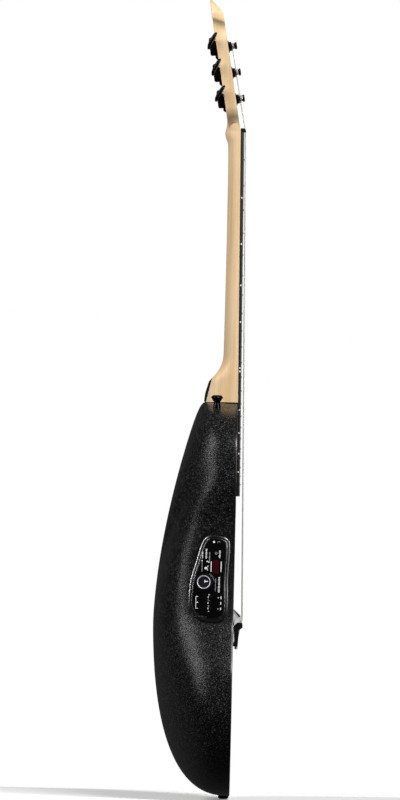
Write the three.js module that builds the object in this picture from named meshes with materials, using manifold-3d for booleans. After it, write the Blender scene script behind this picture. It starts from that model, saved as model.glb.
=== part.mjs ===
// Acoustic-electric guitar with a shallow round back, in millimetres.
// +Z runs up the neck, the soundboard faces -Y, the bass side is -X.
// The origin is the middle of the end pin's outer face. The guitar is built with its soundboard's face
// at Y zero, and is moved forward as a whole at the end.
import * as THREE from 'three';
import { mergeVertices } from 'three/addons/utils/BufferGeometryUtils.js';
import Module from 'manifold-3d';

const wasm = await Module();
wasm.setup();

// Sizes of the whole
const SCALE_LENGTH = 641.35;
const NECK_LENGTH = 354.3;
const BODY_BOTTOM_Z = 5.2;
const BODY_LENGTH = 514.1;
const HALF_LOWER_BOUT = 199;
const BOWL_DEPTH = 106;
const FRET_COUNT = 22;
const FRETS_PER_OCTAVE = 12;
const BODY_TOP_Z = BODY_BOTTOM_Z + BODY_LENGTH;
const NUT_FACE_Z = BODY_TOP_Z + NECK_LENGTH;

function fretZ(fret) {
  return NUT_FACE_Z - SCALE_LENGTH * (1 - 2 ** (-fret / FRETS_PER_OCTAVE));
}

// Clearances
const SEAT = 0.05;
const CLEAR = 0.3;
const SLIP = 0.4;
const OVERRUN = 20;
const WELD = 0.0002;

// Bowl
const BOWL_CENTRE_SHARE = 0.4995;
const BOWL_CENTRE_Z = BODY_BOTTOM_Z + BOWL_CENTRE_SHARE * BODY_LENGTH;
const BOWL_WALL = 3;
const RIM_Y = 2.8;
const DEEPEST_SHARE = 0.4217;
const DEEPEST_Z = BODY_BOTTOM_Z + DEEPEST_SHARE * BODY_LENGTH;
const NECK_END_DROP_SHARE = 0.53;
const DEPTH_FALL_POWER = 1.72;
const SIDE_POWER = 2.5;
const NECK_END_POWER = 12;
const NECK_END_FROM_SHARE = 0.84;
const OVAL_HALF_WIDTH = 165;
const OUTLINE_FADE_POWER = 3;
const BOWL_RINGS = 10;
const BOWL_INNER_RINGS = 6;
const OUTLINE_STEP = 27;
const LEDGE_WIDTH = 8;
const LEDGE_DEPTH = 6;
const LEDGE_INSET = 1;

// Half outline from tail to neck on the bass side, and from neck to tail on the cutaway side
const BASS_OUTLINE_SHARES = [
  [0, 0], [0.45, 0.012], [0.80, 0.085], [0.985, 0.20], [0.965, 0.305], [0.84, 0.385], [0.745, 0.44],
  [0.695, 0.51], [0.668, 0.60], [0.69, 0.70], [0.73, 0.80], [0.67, 0.90], [0.50, 0.962], [0.29, 0.987],
  [0.14, 0.9975],
];
const TREBLE_OUTLINE_SHARES = [
  [0, 1], [0.135, 0.997], [0.165, 0.96], [0.18, 0.915], [0.215, 0.872], [0.28, 0.848], [0.35, 0.846],
  [0.42, 0.862], [0.49, 0.887], [0.56, 0.905], [0.625, 0.90], [0.68, 0.872], [0.715, 0.80], [0.69, 0.70],
  [0.668, 0.60], [0.695, 0.51], [0.745, 0.44], [0.84, 0.385], [0.965, 0.305], [0.985, 0.20],
  [0.80, 0.085], [0.45, 0.012],
];

// Soundboard, its binding and its bars
const BINDING_WIDTH = 2.4;
const SOUND_HOLE_SIDES = 16;
const SOUND_HOLE_RADIUS = 15;
// Places as shares of half the lower bout and of the body's length, and shares of the largest radius
const SOUND_HOLE_SHARES = [
  [-0.412, 0.8574, 1], [-0.5226, 0.7932, 0.8], [-0.5528, 0.731, 0.6],
  [0.5226, 0.8224, 0.8], [0.5427, 0.7602, 0.667], [0.5025, 0.7038, 0.533],
];
const BRACE_WIDTH = 7;
const BRACE_HEIGHT = 13;
const BRACE_END_HEIGHT = 4;
const BRACE_TAPER_LENGTH = 40;
const X_BRACE_HALF_SPAN = 118;
const X_BRACE_LOW_SHARE = 0.2272;
const X_BRACE_LOW_Z = BODY_BOTTOM_Z + X_BRACE_LOW_SHARE * BODY_LENGTH;
const X_BRACE_CROSSING_SHARE = 0.5832;
const X_BRACE_CROSSING_Z = BODY_BOTTOM_Z + X_BRACE_CROSSING_SHARE * BODY_LENGTH;
const X_BRACE_UPPER_SPAN = 58;
const UPPER_BRACE_SHARE = 0.8905;
const UPPER_BRACE_Z = BODY_BOTTOM_Z + UPPER_BRACE_SHARE * BODY_LENGTH;
const UPPER_BRACE_BASS_X = -62;
const UPPER_BRACE_TREBLE_X = 26;
const NECK_BLOCK_HALF_WIDTH = 72;
const NECK_BLOCK_HEIGHT = 36;
const NECK_BLOCK_BACK_Y = 40;
const TAIL_BLOCK_HALF_WIDTH = 34;
const TAIL_BLOCK_HEIGHT = 27;
const TAIL_BLOCK_BACK_Y = 28;

// Fingerboard and frets
const NUT_WIDTH = 43;
const BODY_WIDTH_AT_NECK = 54;
const BOARD_PAST_LAST_FRET = 15.5;
const BOARD_END_Z = fretZ(FRET_COUNT) - BOARD_PAST_LAST_FRET;
const BOARD_FRONT_AT_NUT = -0.9;
const BOARD_FRONT_AT_END = -5.4;
const BOARD_THICKNESS = 5;
const BOARD_CAMBER_RADIUS = 305;
const BOARD_CAMBER_STEPS = 4;
const FRET_WIDTH = 2.2;
const FRET_HEIGHT = 1;
const FRET_SINK = 0.8;
const FRET_CROWN_SHARE = 0.45;
const FRET_END_INSET = 0.4;

// Neck, heel and heel cap
const NECK_BACK_Y = 20;
const HEEL_DEPTH = 44.5;
const HEEL_CAP_THICKNESS = 3;
const HEEL_CAP_LENGTH = 28.2;
const HEEL_CAP_LIP_Z = BODY_TOP_Z + HEEL_CAP_LENGTH;
const HEEL_CAP_LIP_Y = 38.2;
const VOLUTE_HEIGHT = 4.2;
const NECK_POWER = 2.1;
const HEEL_POWER = 3;
const HEEL_SQUARE_SHARE = 0.5;
const HEEL_TAPER_SHARE = 0.34;
const NECK_ARC_STEPS = 12;
const HEEL_HEIGHT = 72.7;
// Shares of the heel's height above the body, and of its depth past the neck's back
const HEEL_CURVE_SHARES = [
  [1, 0], [0.9, 0.006], [0.78, 0.03], [0.66, 0.13], [0.56, 0.29], [0.48, 0.465], [0.42, 0.63],
  [0.375, 0.745], [0.27, 0.845], [0.155, 0.945], [0, 1],
];
// Distances from the nut's face toward the tip, as shares of the volute's length, and its height shares
const VOLUTE_LENGTH = 27;
const VOLUTE_SHARES = [
  [-0.72, 0.02], [-0.5, 0.22], [-0.3, 0.72], [-0.1, 1], [0.1, 0.8], [0.3, 0.55], [0.7, 0.5], [1, 0.6],
];
const THROAT_COVER = 2;
const ROD_WIDTH = 6;
const ROD_FRONT_Y = 4.4;
const ROD_BACK_Y = 10;
const ROD_TO_NUT = 17.6;
const ROD_TOP_Z = NUT_FACE_Z - ROD_TO_NUT;
const ROD_TO_BODY = 11.7;
const ROD_FOOT_Z = BODY_TOP_Z + ROD_TO_BODY;
const ADJUSTER_RADIUS = 3;
const ADJUSTER_Y = 7.2;
const ADJUSTER_REACH = 47.3;
const ADJUSTER_END_Z = BODY_TOP_Z - ADJUSTER_REACH;
const ADJUSTER_SOCKET_RADIUS = 1.6;
const ADJUSTER_SOCKET_DEPTH = 6;

// Headstock
const HEAD_ORIGIN_Y = 4.85;
const HEAD_PITCH = THREE.MathUtils.degToRad(9.6);
const HEAD_THICKNESS = 15;
const HEAD_LENGTH = 172;
const HEAD_HALF_WIDTH = 38;
const HEAD_ROOT = 3;
const HEAD_TIP_BEVEL = 19.3;
const HEAD_TIP_THICKNESS = 2.5;
// Half outline, as shares of the head's length and of its half width
const HEAD_OUTLINE_SHARES = [
  [0, 0.57], [0.06, 0.585], [0.11, 0.66], [0.17, 0.80], [0.24, 0.87], [0.45, 0.90], [0.72, 0.93],
  [0.80, 0.90], [0.855, 0.98], [0.885, 1], [0.93, 0.86], [0.975, 0.50], [1, 0.14],
];

// Nut
const NUT_LENGTH = 5;
const HEAD_ORIGIN_Z = NUT_FACE_Z + NUT_LENGTH + SEAT * 2;
const NUT_PROUD = 2;
const NUT_ROUND_SHARE = 0.45;
const SLOT_FLOOR_ABOVE_BOARD = 1.35;
const STRING_SPREAD_AT_NUT = 36;

// Strings, bass to treble
const STRING_NAMES = ['string_6', 'string_5', 'string_4', 'string_3', 'string_2', 'string_1'];
const WOUND_COUNT = 4;
const STRING_DIAMETERS = [1.35, 1.07, 0.81, 0.61, 0.46, 0.38];
const STRING_LOOPS = [1.5, 2, 2, 2.25, 2.25, 2.25];
const STRING_SPREAD_AT_SADDLE = 54;
const STRING_SIDES = 6;
const LOOP_STEPS = 24;
const TURN_GAP = 0.46;
const POST_GAP = 0.12;
const STRING_REST_GAP = 0.08;
const SADDLE_REST_GAP = 0.22;
const SADDLE_STRING_Y = -12.4;
const SADDLE_TURN_DROP = 0.5;
const BALL_RADIUS = 2.1;
const BALL_LENGTH = 3.6;
const BALL_SIDES = 10;
const HOLE_CLEARANCE = 0.25;
const POINTS_IN_BRIDGE = 4;
const POINTS_TO_FIRST_LOOP = 7;

// Bridge, saddle and its strip pickup, with lengths counted from the saddle's crest
const CREST_LEAD = 2.15;
const SADDLE_CREST_Z = NUT_FACE_Z - SCALE_LENGTH + CREST_LEAD;
const SADDLE_RAMP_LENGTH = 5;
const SADDLE_FRONT_Z = SADDLE_CREST_Z + SADDLE_RAMP_LENGTH;
const SADDLE_BACK_LENGTH = 2.2;
const SADDLE_BACK_Z = SADDLE_CREST_Z - SADDLE_BACK_LENGTH;
const BRIDGE_RAMP_LENGTH = 8.5;
const BRIDGE_FRONT_Z = SADDLE_FRONT_Z + BRIDGE_RAMP_LENGTH;
const RIDGE_GAP = 0.6;
const RIDGE_FRONT_Z = SADDLE_BACK_Z - RIDGE_GAP;
const RIDGE_LENGTH = 6.2;
const RIDGE_BACK_Z = RIDGE_FRONT_Z - RIDGE_LENGTH;
const BRIDGE_TAIL_LENGTH = 24.7;
const BRIDGE_TAIL_Z = RIDGE_BACK_Z - BRIDGE_TAIL_LENGTH;
const BRIDGE_HALF_CORE = 42;
const BRIDGE_HALF_WIDTH = 84;
const BRIDGE_WING_HEIGHT = 5;
const BRIDGE_RIDGE_HEIGHT = 12.3;
const BRIDGE_RAMP_HEIGHT = 9.6;
const BRIDGE_TAIL_HEIGHT = 8;
const BRIDGE_TAIL_LIP_HEIGHT = 6.4;
const SADDLE_RAMP_RISE = 2;
const SADDLE_STEPS = 8;
const SADDLE_HALF_WIDTH = 37;
const SADDLE_SLOT_FLOOR = 3.2;
const STRING_HOLE_FRONT_Y = -9.9;
const STRING_HOLE_TAIL_Y = -4.6;
const PICKUP_THICKNESS = 1.5;
const LEAD_RADIUS = 1.2;
const LEAD_SIDES = 8;
const LEAD_HOLE_INSET = 4;
const LEAD_PAIR_OFFSET = 2.5;
const LEAD_STRAIGHT = 16;
const LEAD_TURN_Y = 12;
const LEAD_LOW_Y = 26;
const LEAD_SAG = 4;
const PICKUP_LEAD_STEPS = 26;
const JACK_LEAD_STEPS = 36;
// Places as shares of half the lower bout, of the bowl's depth and of the body's length
const JACK_LEAD_SHARES = [[-0.482, 0.585, 0.389], [-0.302, 0.623, 0.253], [-0.1, 0.377, 0.175]];
const BRIDGE_LIP_HEIGHT = 1.2;
const BRIDGE_SLOT_EDGE = 0.8;
const BRIDGE_STEP = 3.5;
// Half outline of the wings, as shares of half the bridge's width and of its length
const BRIDGE_WING_SHARES = [
  [0.42, 1], [0.6, 0.9], [0.85, 0.8], [0.97, 0.68], [1, 0.52],
  [0.97, 0.36], [0.85, 0.24], [0.6, 0.12], [0.42, 0],
];

// Tuners, in the headstock's own directions
const TUNER_FIRST_ALONG = 38.4;
const TUNER_PITCH = 34.8;
const POST_X_SHARES = [0.54, 0.59, 0.63];
const POST_RADIUS = 3;
const POST_CAP_RADIUS = 4.25;
const POST_CAP_HEIGHT = 2.5;
const POST_HEIGHT = 11.6;
const POST_SIDES = 12;
const HEX_RADIUS = 5.7;
const HEX_TOP_RADIUS = 5.1;
const HEX_SIDES = 6;
const HEX_HEIGHT = 4.6;
const WASHER_RADIUS = 7.7;
const WASHER_HEIGHT = 1.2;
const BUSHING_TUBE_RADIUS = 4.6;
const BUSHING_TUBE_LENGTH = 10;
const PLATE_THICKNESS = 2;
const PLATE_LENGTH = 17;
const PLATE_WIDTH = 16;
const EAR_LENGTH = 5.5;
const EAR_RADIUS = 3.4;
const HOUSING_DEPTH = 7.1;
const HOUSING_LENGTH = 16.2;
const HOUSING_WIDTH = 15.4;
const HOUSING_ROUND = 2.4;
const HOUSING_SHIFT = -0.3;
const POST_FOOT = 5;
const WORM_OFFSET = 11;
const WORM_HUMP = 3.6;
const SHAFT_RADIUS = 1.7;
const SHAFT_SIDES = 10;
const BUTTON_SPAN = 23;
const BUTTON_REACH = 15;
const BUTTON_THICKNESS = 5.2;
const BUTTON_BEVEL = 1.2;
const BUTTON_GAP = 7;
const WORM_RISE = 0.8;
const EAR_NECK_SHARE = 0.6;
const COLLAR_EXTRA = 1.3;
const COLLAR_REACH = 3;
const CAP_ROUND = 0.8;
const BUTTON_TURN = [40, 36, 37].map(THREE.MathUtils.degToRad);
const BUTTON_OUTLINE_SHARES = [
  [0, 0], [0.06, 0.30], [0.30, 0.44], [0.62, 0.5], [0.88, 0.40], [1, 0.18],
];

// Strap button and end pin jack
const STRAP_BUTTON_X = -58;
const STRAP_BUTTON_Y = 27.4;
const STRAP_BUTTON_PROUD = 9.4;
const STRAP_BUTTON_TOP_Z = BODY_TOP_Z + STRAP_BUTTON_PROUD;
const STRAP_HEAD_RADIUS = 7.95;
const STRAP_WAIST_RADIUS = 3.8;
const STRAP_BASE_RADIUS = 5;
const STRAP_HEIGHT = 17;
const STRAP_SCREW_RADIUS = 2;
const STRAP_ROUND = 2;
const STRAP_WAIST_FROM = 8;
const STRAP_WAIST_TO = 11;
const END_PIN_ROUND = 1.2;
const STRAP_SCREW_LENGTH = 20;
const TURNED_SIDES = 16;
const END_PIN_Y = 7.9;
const END_PIN_RADIUS = 7;
const END_PIN_TIP_RADIUS = 4.6;
const END_PIN_HEIGHT = 4.9;
const JACK_NECK_RADIUS = 4.1;
const JACK_RADIUS = 4.7;
const JACK_BORE_RADIUS = 3.3;
const JACK_END_Z = 48;
const CAP_FLOOR = 1.2;

// Preamp panel, in its own directions: Y toward the back, Z up, X into the body
const PANEL_CENTRE_Y = 32.3;
const PANEL_HEIGHT_SHARE = 0.5511;
const PANEL_CENTRE_Z = BODY_BOTTOM_Z + PANEL_HEIGHT_SHARE * BODY_LENGTH;
const PANEL_SIDE_SHARE = -0.701;
const PANEL_CENTRE_X = PANEL_SIDE_SHARE * HALF_LOWER_BOUT;
const PANEL_TILT = THREE.MathUtils.degToRad(7);
const PANEL_LEAN = THREE.MathUtils.degToRad(6);
const PANEL_HALF_WIDTH = 26.2;
const PANEL_HALF_HEIGHT = 58;
const PANEL_OUTLINE_SHARES = [
  [-0.71, 0.955], [-0.3, 1], [0.08, 0.985], [0.32, 0.91], [0.45, 0.80], [0.70, 0.39], [0.94, -0.02],
  [1, -0.475], [0.955, -0.61], [0.78, -0.77], [0.43, -0.905], [0, -0.965], [-0.46, -0.965],
  [-0.755, -0.90], [-0.93, -0.745], [-0.935, 0.04], [-0.98, 0.77], [-0.92, 0.89],
];
const FRAME_LIP = 2.5;
const FRAME_BAND = 5;
const FRAME_SKIRT = 16;
const COLLAR_WALL = 2;
const COLLAR_DEPTH = 20;
const POD_PLATE = 3;
const POD_AXIS_ABOVE_EDGE = 2.4;
const POD_EDGE_BELOW_AXIS = 1.4;
const POD_RELIEF = 1.4;
const POD_RELIEF_RISE = 3;
const POD_PIN_RADIUS = 1;
const POD_PIN_HALF_LENGTH = 16.5;
const POD_BOX_BOTTOM = 14;
const POD_BOX_TOP = 72;
const POD_BOX_DEPTH = 31;
const POD_BOX_FRONT = -17.5;
const POD_BOX_BACK = 11;
const BATTERY_LENGTH = 48.5;
const BATTERY_WIDTH = 26.5;
const BATTERY_THICKNESS = 17.5;
const BATTERY_BOTTOM = 20;
const KNOB_Y = 6.4;
const KNOB_Z = -4.2;
const KNOB_RADIUS = 10.75;
const KNOB_FLUTE_SHARE = 0.965;
const KNOB_FLUTES = 20;
const KNOB_HEIGHT = 6;
const KNOB_TOP_SHARE = 0.9;
const CONTROL_GAP = 0.4;
const CONTROL_SHAFT_RADIUS = 3;
const CONTROL_SHAFT_DEPTH = 7;
const SLIDER_NAMES = ['eq_slider_bass', 'eq_slider_mid', 'eq_slider_treble'];
const SLIDER_FIRST_Z = -23.6;
const SLIDER_PITCH = 7.3;
const SLIDER_TRAVEL = 9.6;
const SLIDER_CAP_HALF_LENGTH = 4;
const SLIDER_CAP_HALF_WIDTH = 1.8;
const SLIDER_CAP_HEIGHT = 3.4;
const SLIDER_CAP_TOP_SHARE = 0.6;
const SLIDER_STEM_HALF_LENGTH = 1.3;
const SLIDER_STEM_HALF_WIDTH = 0.7;
const SLIDER_STEM_DEPTH = 5;
const DISPLAY_Y = -8.3;
const DISPLAY_Z = 16.6;
const DISPLAY_HALF_WIDTH = 3.7;
const DISPLAY_HALF_HEIGHT = 8.7;
const DISPLAY_THICKNESS = 1.2;
const SWITCH_Y = 5;
const SWITCH_Z = 14.4;
const SWITCH_RADIUS = 1.8;
const LATCH_Y = -11.2;
const LATCH_Z = 46.4;
const LATCH_RADIUS = 2.7;
const PUSH_HEIGHT = 1.5;
const PUSH_DEPTH = 2.2;
const PUSH_TRAVEL = 1;
const SOCKET_BLOCK_HALF_WIDTH = 5;
const SOCKET_BLOCK_HEIGHT = 9;
const SOCKET_BLOCK_DEPTH = 6;
const SOCKET_BLOCK_ROOT = 3;
const POD_WALL = 1;
const SOCKET_Y = 3;
const SOCKET_Z = -46;

// Colours
const MAPLE = 0xdec49e;
const BLACK_BOWL = 0x2e2e2f;
const EBONY = 0x2c2a28;
const BLACK_WOOD = 0x1d1b1a;
const SPRUCE = 0xd9bd8a;
const BLOCK_WOOD = 0xb98f5c;
const BLACK_GLOSS = 0x161617;
const BLACK_PLASTIC = 0x1c1c1e;
const STEEL = 0xb9babd;
const BRASS = 0xb08d4a;
const SADDLE_WHITE = 0xe8e6dd;
const DISPLAY_RED = 0x4b0006;
const BATTERY_GREY = 0x55585c;
const ROD_STEEL = 0x7d7f83;

const MATERIALS = {
  maple: new THREE.MeshStandardMaterial({ color: MAPLE, roughness: 0.45, metalness: 0 }),
  bowl: new THREE.MeshStandardMaterial({ color: BLACK_BOWL, roughness: 0.6, metalness: 0 }),
  ebony: new THREE.MeshStandardMaterial({ color: EBONY, roughness: 0.5, metalness: 0 }),
  blackWood: new THREE.MeshStandardMaterial({ color: BLACK_WOOD, roughness: 0.4, metalness: 0 }),
  spruce: new THREE.MeshStandardMaterial({ color: SPRUCE, roughness: 0.5, metalness: 0 }),
  block: new THREE.MeshStandardMaterial({ color: BLOCK_WOOD, roughness: 0.7, metalness: 0 }),
  gloss: new THREE.MeshStandardMaterial({ color: BLACK_GLOSS, roughness: 0.2, metalness: 0.3 }),
  plastic: new THREE.MeshStandardMaterial({ color: BLACK_PLASTIC, roughness: 0.4, metalness: 0 }),
  steel: new THREE.MeshStandardMaterial({ color: STEEL, roughness: 0.3, metalness: 1 }),
  brass: new THREE.MeshStandardMaterial({ color: BRASS, roughness: 0.35, metalness: 1 }),
  white: new THREE.MeshStandardMaterial({ color: SADDLE_WHITE, roughness: 0.4, metalness: 0 }),
  display: new THREE.MeshStandardMaterial({ color: DISPLAY_RED, roughness: 0.15, metalness: 0 }),
  battery: new THREE.MeshStandardMaterial({ color: BATTERY_GREY, roughness: 0.4, metalness: 0.5 }),
  rod: new THREE.MeshStandardMaterial({ color: ROD_STEEL, roughness: 0.4, metalness: 1 }),
};

// Solids from geometry, and back

function sixVolume(position, a, b, c) {
  const pa = new THREE.Vector3().fromArray(position, a * 3);
  const pb = new THREE.Vector3().fromArray(position, b * 3);
  const pc = new THREE.Vector3().fromArray(position, c * 3);
  return pa.dot(pb.cross(pc));
}

function solid(geometry, matrix = null) {
  const bare = geometry.index ? geometry.toNonIndexed() : geometry.clone();
  bare.deleteAttribute('normal');
  bare.deleteAttribute('uv');
  if (matrix) {
    bare.applyMatrix4(matrix);
  }
  const merged = mergeVertices(bare, WELD);
  const position = merged.attributes.position.array;
  const corners = [];
  let volume = 0;
  for (let i = 0; i < merged.index.count; i += 3) {
    const a = merged.index.getX(i);
    const b = merged.index.getX(i + 1);
    const c = merged.index.getX(i + 2);
    if (a === b || b === c || c === a) {
      continue;
    }
    corners.push(a, b, c);
    volume += sixVolume(position, a, b, c);
  }
  if (volume < 0) {
    corners.reverse();
  }
  const triVerts = Uint32Array.from(corners);
  return new wasm.Manifold(new wasm.Mesh({ numProp: 3, vertProperties: position, triVerts }));
}

function geometryOf(manifold) {
  const mesh = manifold.getMesh();
  const geometry = new THREE.BufferGeometry();
  geometry.setAttribute('position', new THREE.BufferAttribute(mesh.vertProperties, mesh.numProp));
  geometry.setIndex(new THREE.BufferAttribute(mesh.triVerts, 1));
  geometry.computeVertexNormals();
  return geometry;
}

const guitar = new THREE.Group();

function piece(name, manifold, material, parent = guitar) {
  const mesh = new THREE.Mesh(geometryOf(manifold), material);
  mesh.name = name;
  parent.add(mesh);
  return mesh;
}

// A matrix that lays the first two shape directions and the depth along three given axes
const AXES = {
  x: new THREE.Matrix4().set(0, 0, 1, 0, 1, 0, 0, 0, 0, 1, 0, 0, 0, 0, 0, 1),
  y: new THREE.Matrix4().set(1, 0, 0, 0, 0, 0, 1, 0, 0, 1, 0, 0, 0, 0, 0, 1),
  z: new THREE.Matrix4(),
};

// An outline in the plane across one axis, carried along that axis
function prism(points, axis, from, to, holes = []) {
  const corners = points.map(([a, b]) => new THREE.Vector2(a, b));
  if (THREE.ShapeUtils.isClockWise(corners)) {
    corners.reverse();
  }
  const shape = new THREE.Shape(corners);
  for (const hole of holes) {
    shape.holes.push(new THREE.Path(hole.map(([a, b]) => new THREE.Vector2(a, b))));
  }
  const geometry = new THREE.ExtrudeGeometry(shape, { depth: to - from, bevelEnabled: false });
  geometry.translate(0, 0, from);
  return solid(geometry, AXES[axis]);
}

function box(x, y, z) {
  return prism([[x[0], y[0]], [x[1], y[0]], [x[1], y[1]], [x[0], y[1]]], 'z', z[0], z[1]);
}

// A profile of [radius, height] turned round a line along one axis through (a, b)
const TURN_AXES = {
  x: new THREE.Matrix4().set(0, 1, 0, 0, 1, 0, 0, 0, 0, 0, 1, 0, 0, 0, 0, 1),
  y: new THREE.Matrix4(),
  z: new THREE.Matrix4().set(1, 0, 0, 0, 0, 0, 1, 0, 0, 1, 0, 0, 0, 0, 0, 1),
};

function turned(profile, axis, a, b, sides) {
  const closes = profile[0][0] > 0;
  const points = profile.map(([radius, height]) => new THREE.Vector2(radius, height));
  if (closes) {
    points.push(points[0].clone());
  }
  const geometry = new THREE.LatheGeometry(points, sides);
  const place = { x: [0, a, b], y: [a, 0, b], z: [a, b, 0] }[axis];
  const matrix = new THREE.Matrix4().makeTranslation(...place).multiply(TURN_AXES[axis]);
  return solid(geometry, matrix);
}

function rod(radius, axis, a, b, from, to, sides) {
  return turned([[0, from], [radius, from], [radius, to], [0, to]], axis, a, b, sides);
}

function middle(ring) {
  const sum = new THREE.Vector3();
  ring.forEach((point) => sum.add(point));
  return sum.divideScalar(ring.length);
}

// Rings of equal count joined into one closed skin, its two ends closed round a centre
function loft(rings, firstCentre = middle(rings[0]), lastCentre = middle(rings[rings.length - 1])) {
  const count = rings[0].length;
  const points = [...rings.flat(), firstCentre, lastCentre];
  const first = points.length - 2;
  const last = points.length - 1;
  const final = (rings.length - 1) * count;
  const index = [];
  for (let i = 0; i < count; i++) {
    const j = (i + 1) % count;
    for (let r = 0; r + 1 < rings.length; r++) {
      const low = r * count;
      const high = low + count;
      index.push(low + i, low + j, high + j, low + i, high + j, high + i);
    }
    index.push(first, j, i, last, final + i, final + j);
  }
  const geometry = new THREE.BufferGeometry().setFromPoints(points);
  geometry.setIndex(index);
  return solid(geometry);
}

// A route through given points, with each joint mitred
class Route extends THREE.Curve {
  constructor(points) {
    super();
    this.points = points;
  }

  getPoint(t, target = new THREE.Vector3()) {
    const along = t * (this.points.length - 1);
    const i = Math.min(Math.floor(along), this.points.length - 2);
    return target.lerpVectors(this.points[i], this.points[i + 1], along - i);
  }

  getPointAt(t, target) {
    return this.getPoint(t, target);
  }

  getTangentAt(t, target = new THREE.Vector3()) {
    const last = this.points.length - 1;
    const i = Math.round(t * last);
    const before = this.points[Math.max(i - 1, 0)];
    const here = this.points[i];
    const after = this.points[Math.min(i + 1, last)];
    const into = here.clone().sub(before).normalize();
    const out = after.clone().sub(here).normalize();
    return target.addVectors(into, out).normalize();
  }
}

function inOrder(a, b) {
  return a < b ? [a, b] : [b, a];
}

function circle(radius, sides, a = 0, b = 0) {
  return Array.from({ length: sides }, (_, i) => {
    const angle = (i / sides) * Math.PI * 2;
    return [a + radius * Math.cos(angle), b + radius * Math.sin(angle)];
  });
}

function tube(points, radius, sides) {
  const section = new THREE.Shape(circle(radius, sides).map(([a, b]) => new THREE.Vector2(a, b)));
  const extrudePath = new Route(points);
  return solid(new THREE.ExtrudeGeometry(section, { steps: points.length - 1, extrudePath }));
}

// An outline moved inward by a distance, corner by corner
function inset(points, distance) {
  const count = points.length;
  return points.map(([a, b], i) => {
    const [a0, b0] = points[(i + count - 1) % count];
    const [a1, b1] = points[(i + 1) % count];
    const into = new THREE.Vector2(a - a0, b - b0).normalize();
    const out = new THREE.Vector2(a1 - a, b1 - b).normalize();
    const along = into.add(out).normalize();
    const reach = distance / along.dot(out);
    return [a + along.y * reach, b - along.x * reach];
  });
}

// Body outline and bowl

const outlineCurve = new THREE.CatmullRomCurve3(
  [
    ...BASS_OUTLINE_SHARES.map(([x, z]) => [-x, z]),
    ...TREBLE_OUTLINE_SHARES,
  ].map(([x, z]) => new THREE.Vector3(x * HALF_LOWER_BOUT, 0, BODY_BOTTOM_Z + z * BODY_LENGTH)),
  true,
  'centripetal',
);
const corners = outlineCurve.points;
const OUTLINE = corners.flatMap((corner, i) => {
  const steps = Math.max(1, Math.round(corner.distanceTo(corners[(i + 1) % corners.length]) / OUTLINE_STEP));
  return Array.from({ length: steps }, (_, step) => (
    outlineCurve.getPoint((i + step / steps) / corners.length)
  ));
});

function bowlDepth(z) {
  const toNeck = Math.max(0, (z - DEEPEST_Z) / (BODY_TOP_Z - DEEPEST_Z));
  return BOWL_DEPTH * (1 - NECK_END_DROP_SHARE * toNeck ** DEPTH_FALL_POWER);
}

function outlineInset(point, distance) {
  const fromCentre = new THREE.Vector3(point.x, 0, point.z - BOWL_CENTRE_Z);
  const length = fromCentre.length();
  return fromCentre.multiplyScalar((length - distance) / length);
}

// The plain oval that the bowl takes on toward its middle, in the direction of a point
function ovalReach(direction) {
  const length = direction.length();
  const across = direction.x / length / OVAL_HALF_WIDTH;
  const along = direction.z / length / (BODY_TOP_Z - BOWL_CENTRE_Z);
  return 1 / Math.hypot(across, along);
}

// The closed form of the bowl, all of it moved inward by a distance, with straight sides in front of its rim
function bowlForm(distance, frontY, ringCount = BOWL_RINGS) {
  const rings = [];
  const start = frontY < RIM_Y ? -1 : 0;
  for (let ring = start; ring < ringCount; ring++) {
    const rimY = ring < 0 ? frontY : RIM_Y;
    const r = Math.max(ring, 0);
    const angle = (r / ringCount) * (Math.PI / 2);
    rings.push(OUTLINE.map((point) => {
      const atRim = outlineInset(point, distance);
      const heightShare = (point.z - BODY_BOTTOM_Z) / BODY_LENGTH;
      const toNeck = THREE.MathUtils.smoothstep(heightShare, NECK_END_FROM_SHARE, 1);
      const power = THREE.MathUtils.lerp(SIDE_POWER, NECK_END_POWER, toNeck);
      const reach = Math.cos(angle) ** (2 / power);
      const deep = Math.sin(angle) ** (2 / power);
      const rimShare = reach ** OUTLINE_FADE_POWER;
      const radius = THREE.MathUtils.lerp(ovalReach(atRim) - distance, atRim.length(), rimShare);
      const fromCentre = atRim.clone().setLength(radius);
      const z = BOWL_CENTRE_Z + fromCentre.z * reach;
      const y = rimY + (bowlDepth(z) - distance - rimY) * deep;
      return new THREE.Vector3(fromCentre.x * reach, y, z);
    }));
  }
  const back = new THREE.Vector3(0, bowlDepth(BOWL_CENTRE_Z) - distance, BOWL_CENTRE_Z);
  return loft(rings, new THREE.Vector3(0, frontY, BOWL_CENTRE_Z), back);
}

function flatOutline(distance) {
  return OUTLINE.map((point) => {
    const fromCentre = outlineInset(point, distance);
    return [fromCentre.x, BOWL_CENTRE_Z + fromCentre.z];
  });
}

const ledgeSpace = prism(
  flatOutline(-OVERRUN), 'y', -OVERRUN, RIM_Y + LEDGE_DEPTH + CLEAR, [flatOutline(LEDGE_WIDTH + CLEAR)],
);
const insideBowl = bowlForm(BOWL_WALL + CLEAR, RIM_Y, BOWL_INNER_RINGS).subtract(ledgeSpace);
const aroundBowl = bowlForm(-CLEAR, -OVERRUN);
const ledge = prism(flatOutline(LEDGE_INSET), 'y', RIM_Y, RIM_Y + LEDGE_DEPTH, [flatOutline(LEDGE_WIDTH)]);
let bowl = bowlForm(0, RIM_Y).subtract(bowlForm(BOWL_WALL, RIM_Y - OVERRUN, BOWL_INNER_RINGS)).add(ledge);

// Preamp panel, seen in its own plane as [toward the back, up]
const panel = new THREE.Group();
panel.position.set(PANEL_CENTRE_X, PANEL_CENTRE_Y, PANEL_CENTRE_Z);
panel.rotation.set(0, PANEL_LEAN, -PANEL_TILT, 'ZYX');
panel.updateMatrixWorld(true);
guitar.add(panel);
const toPanel = panel.matrixWorld.clone().invert();

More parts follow.
